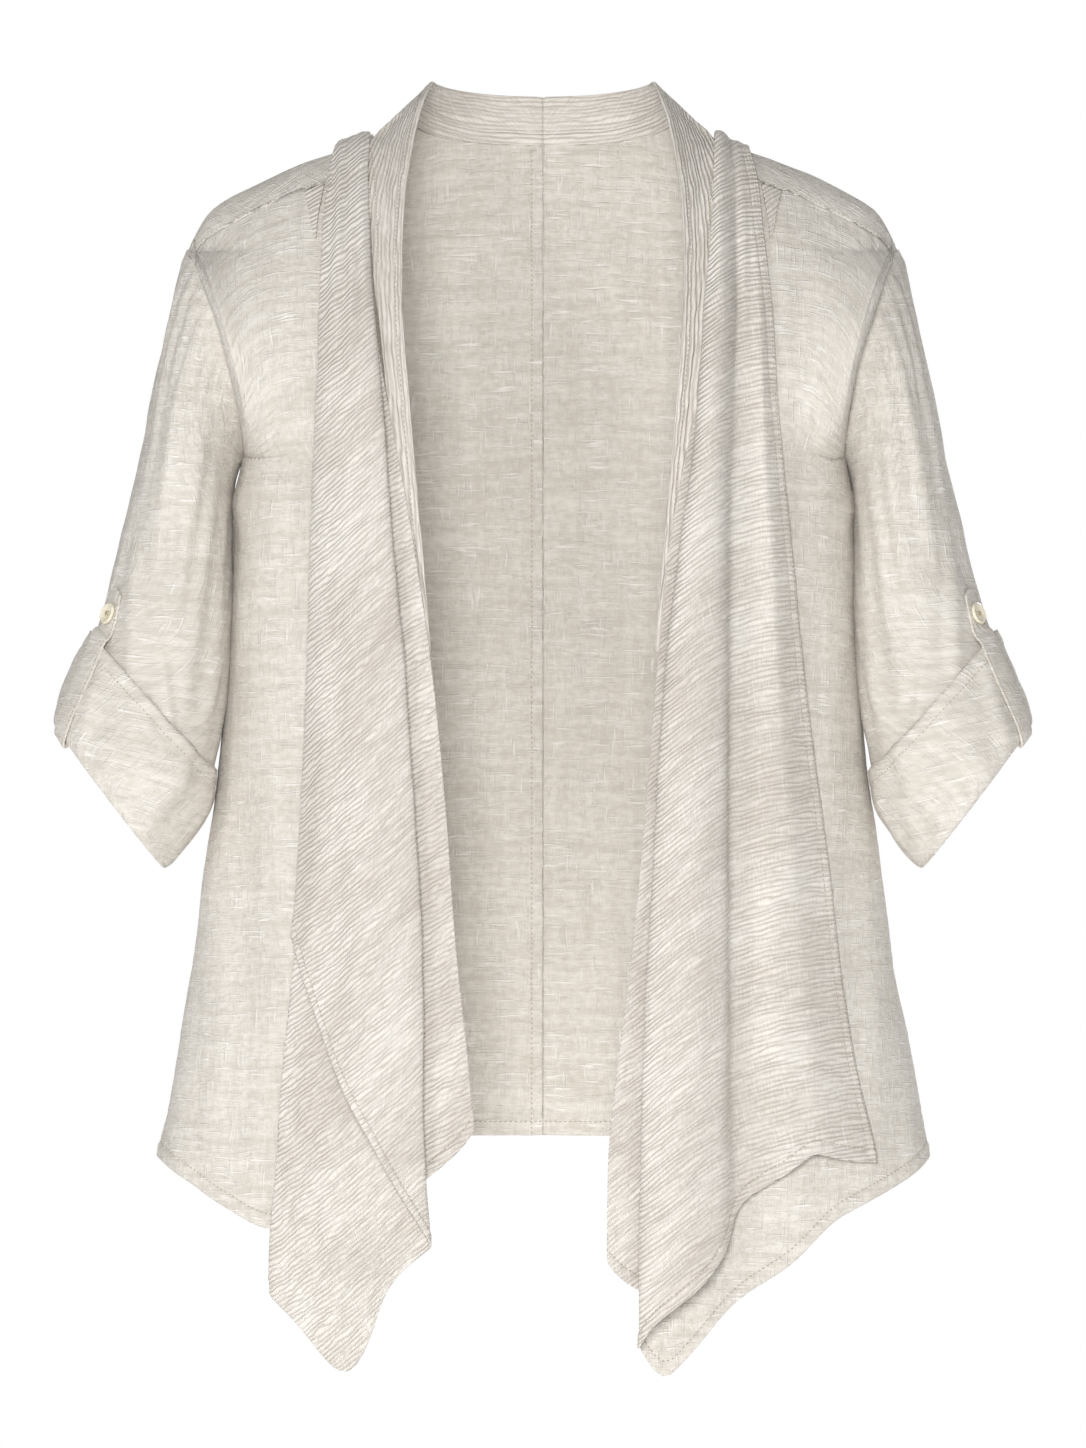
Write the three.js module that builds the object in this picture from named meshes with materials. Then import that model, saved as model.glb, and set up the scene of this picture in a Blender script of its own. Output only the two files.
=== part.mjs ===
// A women's open-front kimono jacket of slub linen with draped crepe front panels, filled out as when worn.
// Millimetres, +Z up, front towards -Y, origin at the neck on the shoulder line, where the wearer carries it.
// Each cloth piece is a thin closed wall, grown on both sides of a grid of middle points.
import * as THREE from 'three';

// Cloth and seams
const CLOTH = 1.2;          // wall of one layer of linen or crepe
const BAND = 2.2;           // wall of the doubled collar band
const STRAP = 1.5;          // wall of the doubled roll-up tab
const CUFF_CLOTH = 1.6;     // wall of the turned-up cuff
const SEAM = 0.3;           // gap between two pieces at a seam

// Body of the garment
const HEM_Z = -628;         // side seam's lower end
const UNDERARM_Z = -192;
const SHOULDER_TIP_Z = -65;
const SHOULDER_TIP_X = 222;
const UNDERARM_X = 187;
const FRONT_TOP_X = 92;     // neck end of the shoulder seam, under the collar
const ARMHOLE_FRONT = 55;   // how far the armhole reaches forwards
const ARMHOLE_BACK = 58;
const ARMHOLE_SCOOP = 8;    // how far the armhole is hollowed towards the neck at mid height
const SHOULDER_ROUND = 200; // height over which the shoulder turns from flat to upright
const ROUND_POWER = 1.6;    // roundness of that turn
const PANEL_POWER = 2.3;    // flatness of the front and back seen from above
const SHOULDER_POWER = 4;   // the same at the shoulders, which are nearly as deep at the sleeve as at the neck
const ARMHOLE_POWER = 10;   // how closely the armhole's depth keeps to its edge

// Buttons
const BUTTON_R = 7;
const BUTTON_THICK = 2.4;
const BUTTON_HOLE_R = 0.9;
const BUTTON_HOLE_OUT = 1.7;
const BUTTON_BEVEL = 0.5; // height of its rounded rim
const BUTTON_BEVEL_WIDE = 0.3;
const BUTTON_HOLES = 4;
const BUTTON_CURVE = 6; // segments to a quarter of an edge

// The shoulder ridge seen from the front: height at each distance from the middle
const RIDGE = [
  { x: 0, z: 62 }, { x: 60, z: 50 }, { x: 69, z: 40.5 }, { x: 78, z: 30 }, { x: 88, z: 18.5 },
  { x: 97, z: 11 }, { x: 108, z: 6 }, { x: 128, z: -1.5 }, { x: 147, z: -8 }, { x: 167, z: -16 },
  { x: 189, z: -27 }, { x: 201, z: -34 }, { x: 209, z: -41 }, { x: 217, z: -54 }, { x: 222, z: -65 },
];

// How far the forward shoulder seam lies below the ridge, on the front
const SHOULDER_SEAM = [{ x: 90, drop: 18 }, { x: 196, drop: 18 }, { x: 210, drop: 15 }, { x: 222, drop: 8 }];

// Half width at the side seams, and how deep the body is in front and behind, from the top down
const BODY = [
  { z: 62, width: 222, front: 96, back: 92 },
  { z: -192, width: 187, front: 104, back: 97 },
  { z: -215, width: 191.2, front: 104, back: 97 },
  { z: -250, width: 192.8, front: 104, back: 98 },
  { z: -300, width: 193.6, front: 103, back: 98 },
  { z: -345, width: 196.2, front: 103, back: 98 },
  { z: -395, width: 200.5, front: 103, back: 99 },
  { z: -450, width: 207.5, front: 105, back: 102 },
  { z: -510, width: 216, front: 107, back: 106 },
  { z: -555, width: 225, front: 109, back: 110 },
  { z: -600, width: 234, front: 111, back: 114 },
  { z: -630, width: 241, front: 113, back: 117 },
  { z: -770, width: 248, front: 118, back: 125 },
];

// Height of the hems, at each distance from the middle
const BACK_HEM = [{ x: 0, z: -620 }, { x: 120, z: -621 }, { x: 200, z: -624 }, { x: 241, z: -628 }];
const FRONT_HEM = {
  left: [
    { x: 62, z: -628 }, { x: 90, z: -640 }, { x: 120, z: -655 }, { x: 145, z: -666 },
    { x: 168, z: -670 }, { x: 197, z: -656 }, { x: 214, z: -645 }, { x: 241, z: -628 },
  ],
  right: [
    { x: 58, z: -741 }, { x: 66, z: -754 }, { x: 75, z: -760 }, { x: 85, z: -751 },
    { x: 95, z: -739 }, { x: 115, z: -715 }, { x: 150, z: -691 }, { x: 175, z: -667 },
    { x: 195, z: -656 }, { x: 220, z: -643 }, { x: 241, z: -628 },
  ],
};

// Inner edge of the linen fronts, hidden under the drapes
const FRONT_INNER = {
  left: [
    { z: 20, x: 92 }, { z: -60, x: 108 }, { z: -150, x: 112 }, { z: -330, x: 96 },
    { z: -450, x: 78 }, { z: -600, x: 64 }, { z: -640, x: 62 },
  ],
  right: [
    { z: 20, x: 92 }, { z: -60, x: 108 }, { z: -150, x: 110 }, { z: -330, x: 92 },
    { z: -450, x: 78 }, { z: -600, x: 66 }, { z: -700, x: 61 }, { z: -760, x: 58 },
  ],
};

// Waterfall drape on the left: distance from the middle of each fold line, from the top down.
// The cloth zigzags from its free edge: outer fold, roll edge, hidden inner fold, opening edge.
const LEFT_FOLDS = [
  { z: 12, outer: 126, roll: 108, inner: 124, opening: 106 },
  { z: -20, outer: 134, roll: 109, inner: 128, opening: 107 },
  { z: -80, outer: 137, roll: 107, inner: 130, opening: 106 },
  { z: -131, outer: 139, roll: 102, inner: 131, opening: 101 },
  { z: -180, outer: 141, roll: 97, inner: 134, opening: 92 },
  { z: -240, outer: 143, roll: 93, inner: 136, opening: 81 },
  { z: -321, outer: 146, roll: 85, inner: 139, opening: 69 },
  { z: -409, outer: 150, roll: 79, inner: 143, opening: 60 },
  { z: -492, outer: 155, roll: 74, inner: 153, opening: 54 },
  { z: -567, outer: 161, roll: 73, inner: 161, opening: 46 },
  { z: -636, outer: 166, roll: 72, inner: 166, opening: 40 },
  { z: -680, outer: 169, roll: 69, inner: 169, opening: 40 },
  { z: -760, outer: 169, roll: 69, inner: 169, opening: 40 },
];

// Section of the left drape: between which fold lines each guide point lies, how far along, its distance
// in front of the body at the shoulder and lower down, and the height where the cloth ends there.
const LEFT_SECTION = [
  { from: 'outer', to: 'roll', part: 0.16, top: 4.2, low: 10.5, end: -478 },
  { from: 'outer', to: 'roll', part: 0.0, top: 4.3, low: 10.5, end: -484 },
  { from: 'outer', to: 'roll', part: 0.0, top: 5.5, low: 15.5, end: -492 },
  { from: 'outer', to: 'roll', part: 0.2, top: 6.4, low: 22.0, end: -534 },
  { from: 'outer', to: 'roll', part: 0.45, top: 6.6, low: 25.0, end: -590 },
  { from: 'outer', to: 'roll', part: 0.75, top: 6.5, low: 24.0, end: -634 },
  { from: 'outer', to: 'roll', part: 1.0, top: 5.9, low: 19.5, end: -679 },
  { from: 'roll', to: 'inner', part: 0.0, top: 4.7, low: 13.5, end: -681 },
  { from: 'roll', to: 'inner', part: 0.28, top: 4.7, low: 9.5, end: -702 },
  { from: 'roll', to: 'inner', part: 0.34, top: 4.7, low: 11.5, end: -731 },
  { from: 'roll', to: 'inner', part: 0.52, top: 4.7, low: 13.0, end: -770 },
  { from: 'roll', to: 'inner', part: 0.78, top: 4.7, low: 9.5, end: -731 },
  { from: 'roll', to: 'inner', part: 1.0, top: 4.6, low: 8.2, end: -712 },
  { from: 'inner', to: 'opening', part: 0.0, top: 3.3, low: 4.8, end: -706 },
  { from: 'inner', to: 'opening', part: 0.3, top: 3.3, low: 4.4, end: -680 },
  { from: 'inner', to: 'opening', part: 0.74, top: 3.0, low: 5.8, end: -640 },
  { from: 'inner', to: 'opening', part: 0.94, top: 3.1, low: 6.6, end: -620 },
  { from: 'inner', to: 'opening', part: 1.0, top: 3.1, low: 6.2, end: -608 },
];

// Waterfall drape on the right, from the seam on the linen: forward fold, valley, roll edge, hidden
// turn behind the roll, opening edge.
const RIGHT_FOLDS = [
  { z: 12, seam: 125, forward: 121, valley: 115, roll: 108, turn: 112, opening: 107 },
  { z: -22, seam: 133, forward: 129, valley: 119, roll: 106, turn: 116, opening: 107.5 },
  { z: -63, seam: 137, forward: 131, valley: 119, roll: 103, turn: 116, opening: 106 },
  { z: -111, seam: 142, forward: 133, valley: 118, roll: 99, turn: 115, opening: 102 },
  { z: -159, seam: 145, forward: 135, valley: 117, roll: 95, turn: 112, opening: 95.5 },
  { z: -207, seam: 149, forward: 137, valley: 116, roll: 90, turn: 109, opening: 85 },
  { z: -254, seam: 154, forward: 140, valley: 116, roll: 83, turn: 104, opening: 77 },
  { z: -316, seam: 160, forward: 143, valley: 116, roll: 75, turn: 98, opening: 71 },
  { z: -387, seam: 169, forward: 148, valley: 116, roll: 70, turn: 94, opening: 65 },
  { z: -459, seam: 178, forward: 153, valley: 117, roll: 66, turn: 92, opening: 59 },
  { z: -531, seam: 187, forward: 158, valley: 117, roll: 62, turn: 90, opening: 51 },
  { z: -577, seam: 195, forward: 163, valley: 117, roll: 60, turn: 88, opening: 45 },
  { z: -630, seam: 206, forward: 166, valley: 118, roll: 59, turn: 86, opening: 40 },
  { z: -760, seam: 212, forward: 169, valley: 118, roll: 57, turn: 84, opening: 40 },
];

const RIGHT_SECTION = [
  { from: 'seam', to: 'forward', part: 0.0, top: 3.8, low: 3.7, end: -631 },
  { from: 'seam', to: 'forward', part: 0.35, top: 3.7, low: 5.2, end: -630 },
  { from: 'seam', to: 'forward', part: 0.8, top: 3.3, low: 10.3, end: -626 },
  { from: 'forward', to: 'valley', part: 0.0, top: 3.6, low: 11.5, end: -624 },
  { from: 'forward', to: 'valley', part: 0.3, top: 3.4, low: 7.5, end: -636 },
  { from: 'forward', to: 'valley', part: 0.7, top: 3.7, low: 6.0, end: -646 },
  { from: 'valley', to: 'roll', part: 0.0, top: 4.2, low: 8.0, end: -656 },
  { from: 'valley', to: 'roll', part: 0.06, top: 5.2, low: 16.0, end: -680 },
  { from: 'valley', to: 'roll', part: 0.3, top: 6.4, low: 26.0, end: -704 },
  { from: 'valley', to: 'roll', part: 0.62, top: 6.7, low: 28.0, end: -718 },
  { from: 'valley', to: 'roll', part: 0.9, top: 6.2, low: 23.0, end: -732 },
  { from: 'valley', to: 'roll', part: 1.0, top: 5.3, low: 17.0, end: -746 },
  { from: 'roll', to: 'turn', part: 0.12, top: 4.6, low: 11.5, end: -736 },
  { from: 'roll', to: 'turn', part: 1.0, top: 4.3, low: 8.6, end: -716 },
  { from: 'turn', to: 'opening', part: 0.0, top: 2.9, low: 5.2, end: -714 },
  { from: 'turn', to: 'opening', part: 0.4, top: 2.9, low: 4.2, end: -712 },
  { from: 'turn', to: 'opening', part: 0.85, top: 2.9, low: 5.2, end: -700 },
  { from: 'turn', to: 'opening', part: 1.0, top: 3.0, low: 5.0, end: -690 },
];

const DRAPE_OVER = [-7, -3.5, -1, 1, 3.5, 8, 14, 22]; // first rows: drops from behind the ridge to the front
const DRAPE_GROWN_Z = -190; // below this height the folds stand at their full depth
const DRAPE_COLUMNS = 30;
const DRAPE_ROWS = 15;      // rows below the shoulder
const DRAPE_SPREAD = 1.4;   // how much closer these rows lie at the top

// Collar band: its folded edge and its seam edge, from the centre back over the shoulder and down the front.
// Behind the ridge both edges are placed by hand, in front of it the band lies on the body.
const COLLAR_BACK = [
  { foldX: 0.2, foldY: 50, foldZ: 36, seamX: 0.2, seamY: 56, seamZ: 6.4 },
  { foldX: 25, foldY: 48, foldZ: 36.8, seamX: 27, seamY: 55, seamZ: 6.8 },
  { foldX: 44, foldY: 41, foldZ: 38.2, seamX: 49, seamY: 50.5, seamZ: 8.4 },
  { foldX: 58, foldY: 29, foldZ: 40, seamX: 69, seamY: 41.5, seamZ: 12 },
  { foldX: 66, foldY: 15, foldZ: 41.8, seamX: 86, seamY: 22, seamZ: 17.4 },
  { foldX: 69, foldY: 2, foldZ: 42.2, seamX: 99, seamY: 0, seamZ: 14.2 },
];
const COLLAR_FRONT = [
  { foldX: 74, foldZ: 27, seamX: 104, seamZ: 3, lift: 3.4 },
  { foldX: 78, foldZ: 14, seamX: 104.5, seamZ: -6, lift: 3.2 },
  { foldX: 81, foldZ: -2, seamX: 104, seamZ: -18, lift: 3.0 },
  { foldX: 84.5, foldZ: -24, seamX: 103.5, seamZ: -34, lift: 2.8 },
  { foldX: 86.5, foldZ: -50, seamX: 103, seamZ: -56, lift: 2.6 },
  { foldX: 87, foldZ: -80, seamX: 102, seamZ: -82, lift: 2.4 },
  { foldX: 86, foldZ: -113, seamX: 98.5, seamZ: -113, lift: 2.4 },
  { foldX: 83, foldZ: -150, seamX: 94.5, seamZ: -150, lift: 2.4 },
  { foldX: 79.5, foldZ: -190, seamX: 90.5, seamZ: -190, lift: 2.4 },
  { foldX: 76, foldZ: -230, seamX: 84.5, seamZ: -230, lift: 2.4 },
  { foldX: 72.5, foldZ: -270, seamX: 78.5, seamZ: -270, lift: 2.4 },
  { foldX: 69, foldZ: -315, seamX: 72, seamZ: -315, lift: 2.4 },
];

// Sleeve rings from the armhole to the turned-up end: outer and inner point seen from the front, the
// ring's middle and half depth from front to back, and how far it is hollowed like the armhole.
const SLEEVE = [
  { outX: 223.4, outZ: -65.6, inX: 189, inZ: -193.6, midY: 1.5, half: 56.5, scoop: 8 },
  { outX: 229, outZ: -84, inX: 191, inZ: -200, midY: 1, half: 58, scoop: 4 },
  { outX: 235.5, outZ: -116, inX: 193.5, inZ: -211, midY: 0, half: 60, scoop: 0 },
  { outX: 243.5, outZ: -152, inX: 194.5, inZ: -225, midY: -2, half: 61, scoop: 0 },
  { outX: 254, outZ: -205, inX: 194.5, inZ: -246, midY: -5, half: 60, scoop: 0 },
  { outX: 264, outZ: -248, inX: 195, inZ: -274, midY: -9, half: 58, scoop: 0 },
  { outX: 270, outZ: -272, inX: 197, inZ: -312, midY: -13, half: 56, scoop: 0 },
  { outX: 274, outZ: -288, inX: 200, inZ: -350, midY: -17, half: 55, scoop: 0 },
  { outX: 279, outZ: -302, inX: 205.5, inZ: -384, midY: -20, half: 54, scoop: 0 },
  { outX: 288.5, outZ: -325, inX: 212, inZ: -411, midY: -24, half: 53, scoop: 0 },
  { outX: 299, outZ: -350, inX: 230, inZ: -437, midY: -28, half: 52, scoop: 0 },
];
const SLEEVE_SIDES = 24;
const SLEEVE_ROWS = [0, 0.5, 1, 2, 3, 4, 5, 6, 6.5, 7, 7.5, 8, 8.5, 9, 9.5, 10]; // rings that are built

// Turned-up cuff and roll-up tab: place along the sleeve in rings, and distance out of the sleeve's wall
const CUFF = [
  { ring: 10.2, lift: 2.4 }, { ring: 9.9, lift: 4.0 }, { ring: 9.3, lift: 4.4 },
  { ring: 8.6, lift: 4.0 }, { ring: 8.05, lift: 3.2 },
];
const TAB = [
  { ring: 6.1, lift: 1.9 }, { ring: 6.5, lift: 1.9 }, { ring: 7.0, lift: 1.9 }, { ring: 7.4, lift: 1.9 },
  { ring: 7.7, lift: 3.4 }, { ring: 7.88, lift: 5.6 }, { ring: 8.1, lift: 6.4 }, { ring: 8.6, lift: 6.6 },
  { ring: 9.2, lift: 6.8 }, { ring: 9.8, lift: 6.8 }, { ring: 10.25, lift: 5.6 }, { ring: 10.5, lift: 2.2 },
  { ring: 10.3, lift: -1.6 }, { ring: 9.9, lift: -2.2 }, { ring: 9.2, lift: -2.2 },
];
const TAB_ANGLE = THREE.MathUtils.degToRad(34);
const TAB_HALF_ANGLE = THREE.MathUtils.degToRad(9.5);
const TAB_POINT = 0.14;     // the tab's pointed end, in rings
const BUTTON_RING = 6.93;
const FACING_RING = 0.3; // small steps that give the button's facing
const FACING_ANGLE = 0.1;
const NORMAL_STEP = 0.6; // small step down the cloth that gives its normal

// Small crepe gusset below the shoulder seam, beside the drape
const GUSSET = [
  { drop: 19, inX: 136, outX: 149 }, { drop: 30, inX: 138, outX: 146 },
  { drop: 42, inX: 140, outX: 144 }, { drop: 52, inX: 140.5, outX: 141.8 },
];
const GUSSET_LIFT = 1.6;

const BACK_COLUMNS = 12;
const FRONT_FIRST = 4;      // the fronts share the back's columns from this one outwards
const BODY_ROWS = 9;        // rows from the hem to the underarm
const SHOULDER_ROWS = 9;    // rows from the underarm to the ridge
const OVER_RIDGE = [0.1, 0.4, 1]; // rows on the front side of the ridge, as shares of the way to the seam

const linen = { color: 0xddd5cb, roughness: 0.92, metalness: 0 };
const crepe = { color: 0xe5dfd6, roughness: 0.9, metalness: 0 };
const buttonFinish = { color: 0xe8debe, roughness: 0.4, metalness: 0 };

const jacket = new THREE.Group();

// Smooth reading of one column of a table at a value of its key, held level past both ends
function read(rows, key, value, column) {
  const last = rows.length - 1;
  const rising = rows[last][key] > rows[0][key];
  const before = (a, b) => (rising ? a <= b : a >= b);
  if (before(value, rows[0][key])) return rows[0][column];
  if (before(rows[last][key], value)) return rows[last][column];
  let i = 0;
  while (before(rows[i + 1][key], value)) i += 1;
  const slope = (a, b) => (rows[b][column] - rows[a][column]) / (rows[b][key] - rows[a][key]);
  const step = rows[i + 1][key] - rows[i][key];
  const t = (value - rows[i][key]) / step;
  const m0 = slope(Math.max(i - 1, 0), i + 1) * step;
  const m1 = slope(i, Math.min(i + 2, last)) * step;
  const p0 = rows[i][column];
  const p1 = rows[i + 1][column];
  const t2 = t * t;
  const t3 = t2 * t;
  return (2 * t3 - 3 * t2 + 1) * p0 + (t3 - 2 * t2 + t) * m0 + (3 * t2 - 2 * t3) * p1 + (t3 - t2) * m1;
}

const mix = (a, b, t) => a + (b - a) * t;
const clamp = (v, low, high) => Math.min(high, Math.max(low, v));

// The body's edge at a height: the side seam below the underarm, the armhole above it
function edgeAt(z, side) {
  if (z <= UNDERARM_Z) return { x: read(BODY, 'z', z, 'width'), y: 0 };
  if (z >= SHOULDER_TIP_Z) return { x: SHOULDER_TIP_X, y: 0 };
  const half = (SHOULDER_TIP_Z - UNDERARM_Z) / 2;
  const up = (z - UNDERARM_Z - half) / half;
  const out = Math.sqrt(1 - up * up);
  const reach = side > 0 ? ARMHOLE_BACK : ARMHOLE_FRONT;
  const middle = (SHOULDER_TIP_X + UNDERARM_X) / 2;
  return { x: middle + (SHOULDER_TIP_X - middle) * up - ARMHOLE_SCOOP * out, y: reach * out };
}

// How far in front of or behind the ridge the body lies, side -1 in front and 1 behind
function bodyY(x, z, side) {
  const drop = Math.max(0, read(RIDGE, 'x', x, 'z') - z);
  const upright = Math.max(0, 1 - drop / SHOULDER_ROUND);
  const turn = (1 - upright ** ROUND_POWER) ** (1 / ROUND_POWER);
  const depth = read(BODY, 'z', z, side > 0 ? 'back' : 'front') * turn;
  const edge = edgeAt(z, side);
  const out = clamp(x / edge.x, 0, 1);
  const up = clamp((z - UNDERARM_Z) / (SHOULDER_TIP_Z - UNDERARM_Z), 0, 1);
  const power = mix(PANEL_POWER, SHOULDER_POWER, up);
  const across = (1 - out ** power) ** (1 / power);
  return side * (edge.y * out ** ARMHOLE_POWER + depth * across);
}

// A point on the body at a distance from the middle and a drop below the ridge, lifted off the body.
// A negative drop is measured down the back. The lift keeps x, so the outline from the front holds.
function bodyPoint(x, drop, lift) {
  const ridge = read(RIDGE, 'x', x, 'z');
  const at = (d) => {
    const z = ridge - Math.abs(d);
    return new THREE.Vector2(bodyY(x, z, d < 0 ? 1 : -1), z);
  };
  const here = at(drop);
  const along = at(drop + NORMAL_STEP).sub(at(drop - NORMAL_STEP)).normalize();
  return new THREE.Vector3(x, here.x + lift * along.y, here.y - lift * along.x);
}

// Closed wall on a grid of middle points, grid[row][column]; around is true where the columns meet
function clothWall(grid, thickness, around = false) {
  const rows = grid.length;
  const columns = grid[0].length;
  const wrap = (j) => (j + columns) % columns;
  const at = (i, j) => {
    const row = grid[clamp(i, 0, rows - 1)];
    return row[around ? wrap(j) : clamp(j, 0, columns - 1)];
  };
  const positions = [];
  for (const sign of [1, -1]) {
    for (let i = 0; i < rows; i += 1) {
      for (let j = 0; j < columns; j += 1) {
        const across = at(i, j + 1).clone().sub(at(i, j - 1));
        const down = at(i + 1, j).clone().sub(at(i - 1, j));
        const normal = across.cross(down).normalize();
        const point = at(i, j).clone().addScaledVector(normal, sign * thickness / 2);
        positions.push(point.x, point.y, point.z);
      }
    }
  }
  const layer = rows * columns;
  const index = (side, i, j) => side * layer + i * columns + (around ? wrap(j) : j);
  const faces = [];
  const quad = (a, b, c, d) => faces.push(a, b, c, a, c, d);
  const lastColumn = around ? columns : columns - 1;
  for (let i = 0; i < rows - 1; i += 1) {
    for (let j = 0; j < lastColumn; j += 1) {
      quad(index(0, i, j), index(0, i, j + 1), index(0, i + 1, j + 1), index(0, i + 1, j));
      quad(index(1, i, j), index(1, i + 1, j), index(1, i + 1, j + 1), index(1, i, j + 1));
    }
    if (!around) {
      quad(index(0, i, 0), index(0, i + 1, 0), index(1, i + 1, 0), index(1, i, 0));
      const c = columns - 1;
      quad(index(0, i, c), index(1, i, c), index(1, i + 1, c), index(0, i + 1, c));
    }
  }
  for (let j = 0; j < lastColumn; j += 1) {
    const r = rows - 1;
    quad(index(0, 0, j), index(1, 0, j), index(1, 0, j + 1), index(0, 0, j + 1));
    quad(index(0, r, j), index(0, r, j + 1), index(1, r, j + 1), index(1, r, j));
  }
  const geometry = new THREE.BufferGeometry();
  geometry.setAttribute('position', new THREE.Float32BufferAttribute(positions, 3));
  geometry.setIndex(faces);
  turnOutwards(geometry);
  return geometry;
}

// Reverses every face where the closed wall was wound inside out, as on the mirrored side
function turnOutwards(geometry) {
  const p = geometry.getAttribute('position');
  const order = geometry.index.array;
  const a = new THREE.Vector3();
  const b = new THREE.Vector3();
  const c = new THREE.Vector3();
  let volume = 0;
  for (let k = 0; k < order.length; k += 3) {
    a.fromBufferAttribute(p, order[k]);
    b.fromBufferAttribute(p, order[k + 1]);
    c.fromBufferAttribute(p, order[k + 2]);
    volume += a.dot(b.cross(c));
  }
  if (volume >= 0) return;
  for (let k = 0; k < order.length; k += 3) [order[k], order[k + 1]] = [order[k + 1], order[k]];
}

function addPiece(name, geometry, finish) {
  const mesh = new THREE.Mesh(geometry, new THREE.MeshStandardMaterial(finish));
  mesh.name = name;
  jacket.add(mesh);
  return mesh;
}

// The same grid on the other side of the middle
const toSide = (grid, sign) => grid.map((row) => row.map((p) => new THREE.Vector3(p.x * sign, p.y, p.z)));

// Heights of one column, level below the underarm and closing in on the ridge above it
function columnHeights(low, high) {
  const heights = [];
  for (let i = 0; i < BODY_ROWS; i += 1) heights.push(mix(low, UNDERARM_Z, i / BODY_ROWS));
  for (let i = 0; i <= SHOULDER_ROWS; i += 1) {
    heights.push(mix(UNDERARM_Z, high, (1 - Math.cos(Math.PI * i / SHOULDER_ROWS)) / 2));
  }
  return heights;
}

// The back's columns close up towards the side
const columnShare = (k) => Math.sin(Math.PI / 2 * k / BACK_COLUMNS);

// Where a column meets the shoulder seam, side 1 above it and -1 below it. The gap widens at the sleeve,
// where the seam runs steeply down.
function shoulderSeamPoint(share, side) {
  const topX = share * SHOULDER_TIP_X;
  const gap = SEAM / 2 * (1 + 7 * share ** 12);
  const z = read(RIDGE, 'x', topX, 'z') - read(SHOULDER_SEAM, 'x', topX, 'drop') + side * gap;
  const x = share * edgeAt(z, -1).x;
  return new THREE.Vector3(x, bodyY(x, z, -1), z);
}

// Half of the back, from the centre back seam to the side seam, over the ridge to the shoulder seam
function backGrid() {
  const neck = COLLAR_BACK.map((row) => ({ x: row.seamX, z: row.seamZ }));
  const columns = [];
  for (let k = 0; k <= BACK_COLUMNS; k += 1) {
    const share = columnShare(k);
    const hem = read(BACK_HEM, 'x', share * read(BODY, 'z', HEM_Z, 'width'), 'z');
    const ridgeX = share * SHOULDER_TIP_X;
    const atNeck = ridgeX < FRONT_TOP_X;
    const top = atNeck ? read(neck, 'x', ridgeX, 'z') - SEAM - CLOTH / 2 : read(RIDGE, 'x', ridgeX, 'z');
    const points = columnHeights(hem, top).map((z) => {
      const x = Math.max(SEAM / 2, share * edgeAt(z, 1).x);
      return new THREE.Vector3(x, Math.max(bodyY(x, z, 1), SEAM / 2), z);
    });
    const last = points[points.length - 1];
    if (atNeck) {
      const previous = points[points.length - 2];
      const between = OVER_RIDGE.map((_, i) => previous.clone().lerp(last, (i + 1) / (OVER_RIDGE.length + 1)));
      points.splice(points.length - 1, 0, ...between);
    } else {
      const seam = shoulderSeamPoint(share, 1);
      for (const part of OVER_RIDGE) {
        const z = mix(last.z, seam.z, part);
        const x = mix(last.x, seam.x, part);
        points.push(new THREE.Vector3(x, bodyY(x, z, -1), z));
      }
    }
    columns.push(points);
  }
  return columns[0].map((_, i) => columns.map((column) => column[i]));
}

// One linen front, from its hidden inner edge to the side seam and armhole
function frontGrid(side) {
  const shares = [FRONT_TOP_X / SHOULDER_TIP_X];
  for (let k = FRONT_FIRST; k <= BACK_COLUMNS; k += 1) shares.push(columnShare(k));
  const innerLow = FRONT_HEM[side][0].x;
  const columns = shares.map((share) => {
    const part = (share * SHOULDER_TIP_X - FRONT_TOP_X) / (SHOULDER_TIP_X - FRONT_TOP_X);
    const hem = read(FRONT_HEM[side], 'x', mix(innerLow, read(BODY, 'z', HEM_Z, 'width'), part), 'z');
    const seam = shoulderSeamPoint(share, -1);
    const points = columnHeights(hem, seam.z).map((z) => {
      const x = mix(read(FRONT_INNER[side], 'z', z, 'x'), edgeAt(z, -1).x, part);
      return new THREE.Vector3(x, Math.min(bodyY(x, z, -1), -SEAM / 2), z);
    });
    points[points.length - 1] = seam;
    return points;
  });
  return columns[0].map((_, i) => columns.map((column) => column[i]));
}

// Smooth curve that keeps inside its guide points, so that folds stay apart
function splineWeights(t) {
  return [
    (1 - t) ** 3 / 6,
    (3 * t ** 3 - 6 * t ** 2 + 4) / 6,
    (-3 * t ** 3 + 3 * t ** 2 + 3 * t + 1) / 6,
    t ** 3 / 6,
  ];
}

function splineRead(values, s) {
  const last = values.length - 1;
  const i = Math.min(Math.floor(s), last - 1);
  const weights = splineWeights(s - i);
  const value = (k) => {
    if (k < 0) return 2 * values[0] - values[1];
    if (k > last) return 2 * values[last] - values[last - 1];
    return values[k];
  };
  return weights.reduce((sum, w, k) => sum + w * value(i - 1 + k), 0);
}

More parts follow.
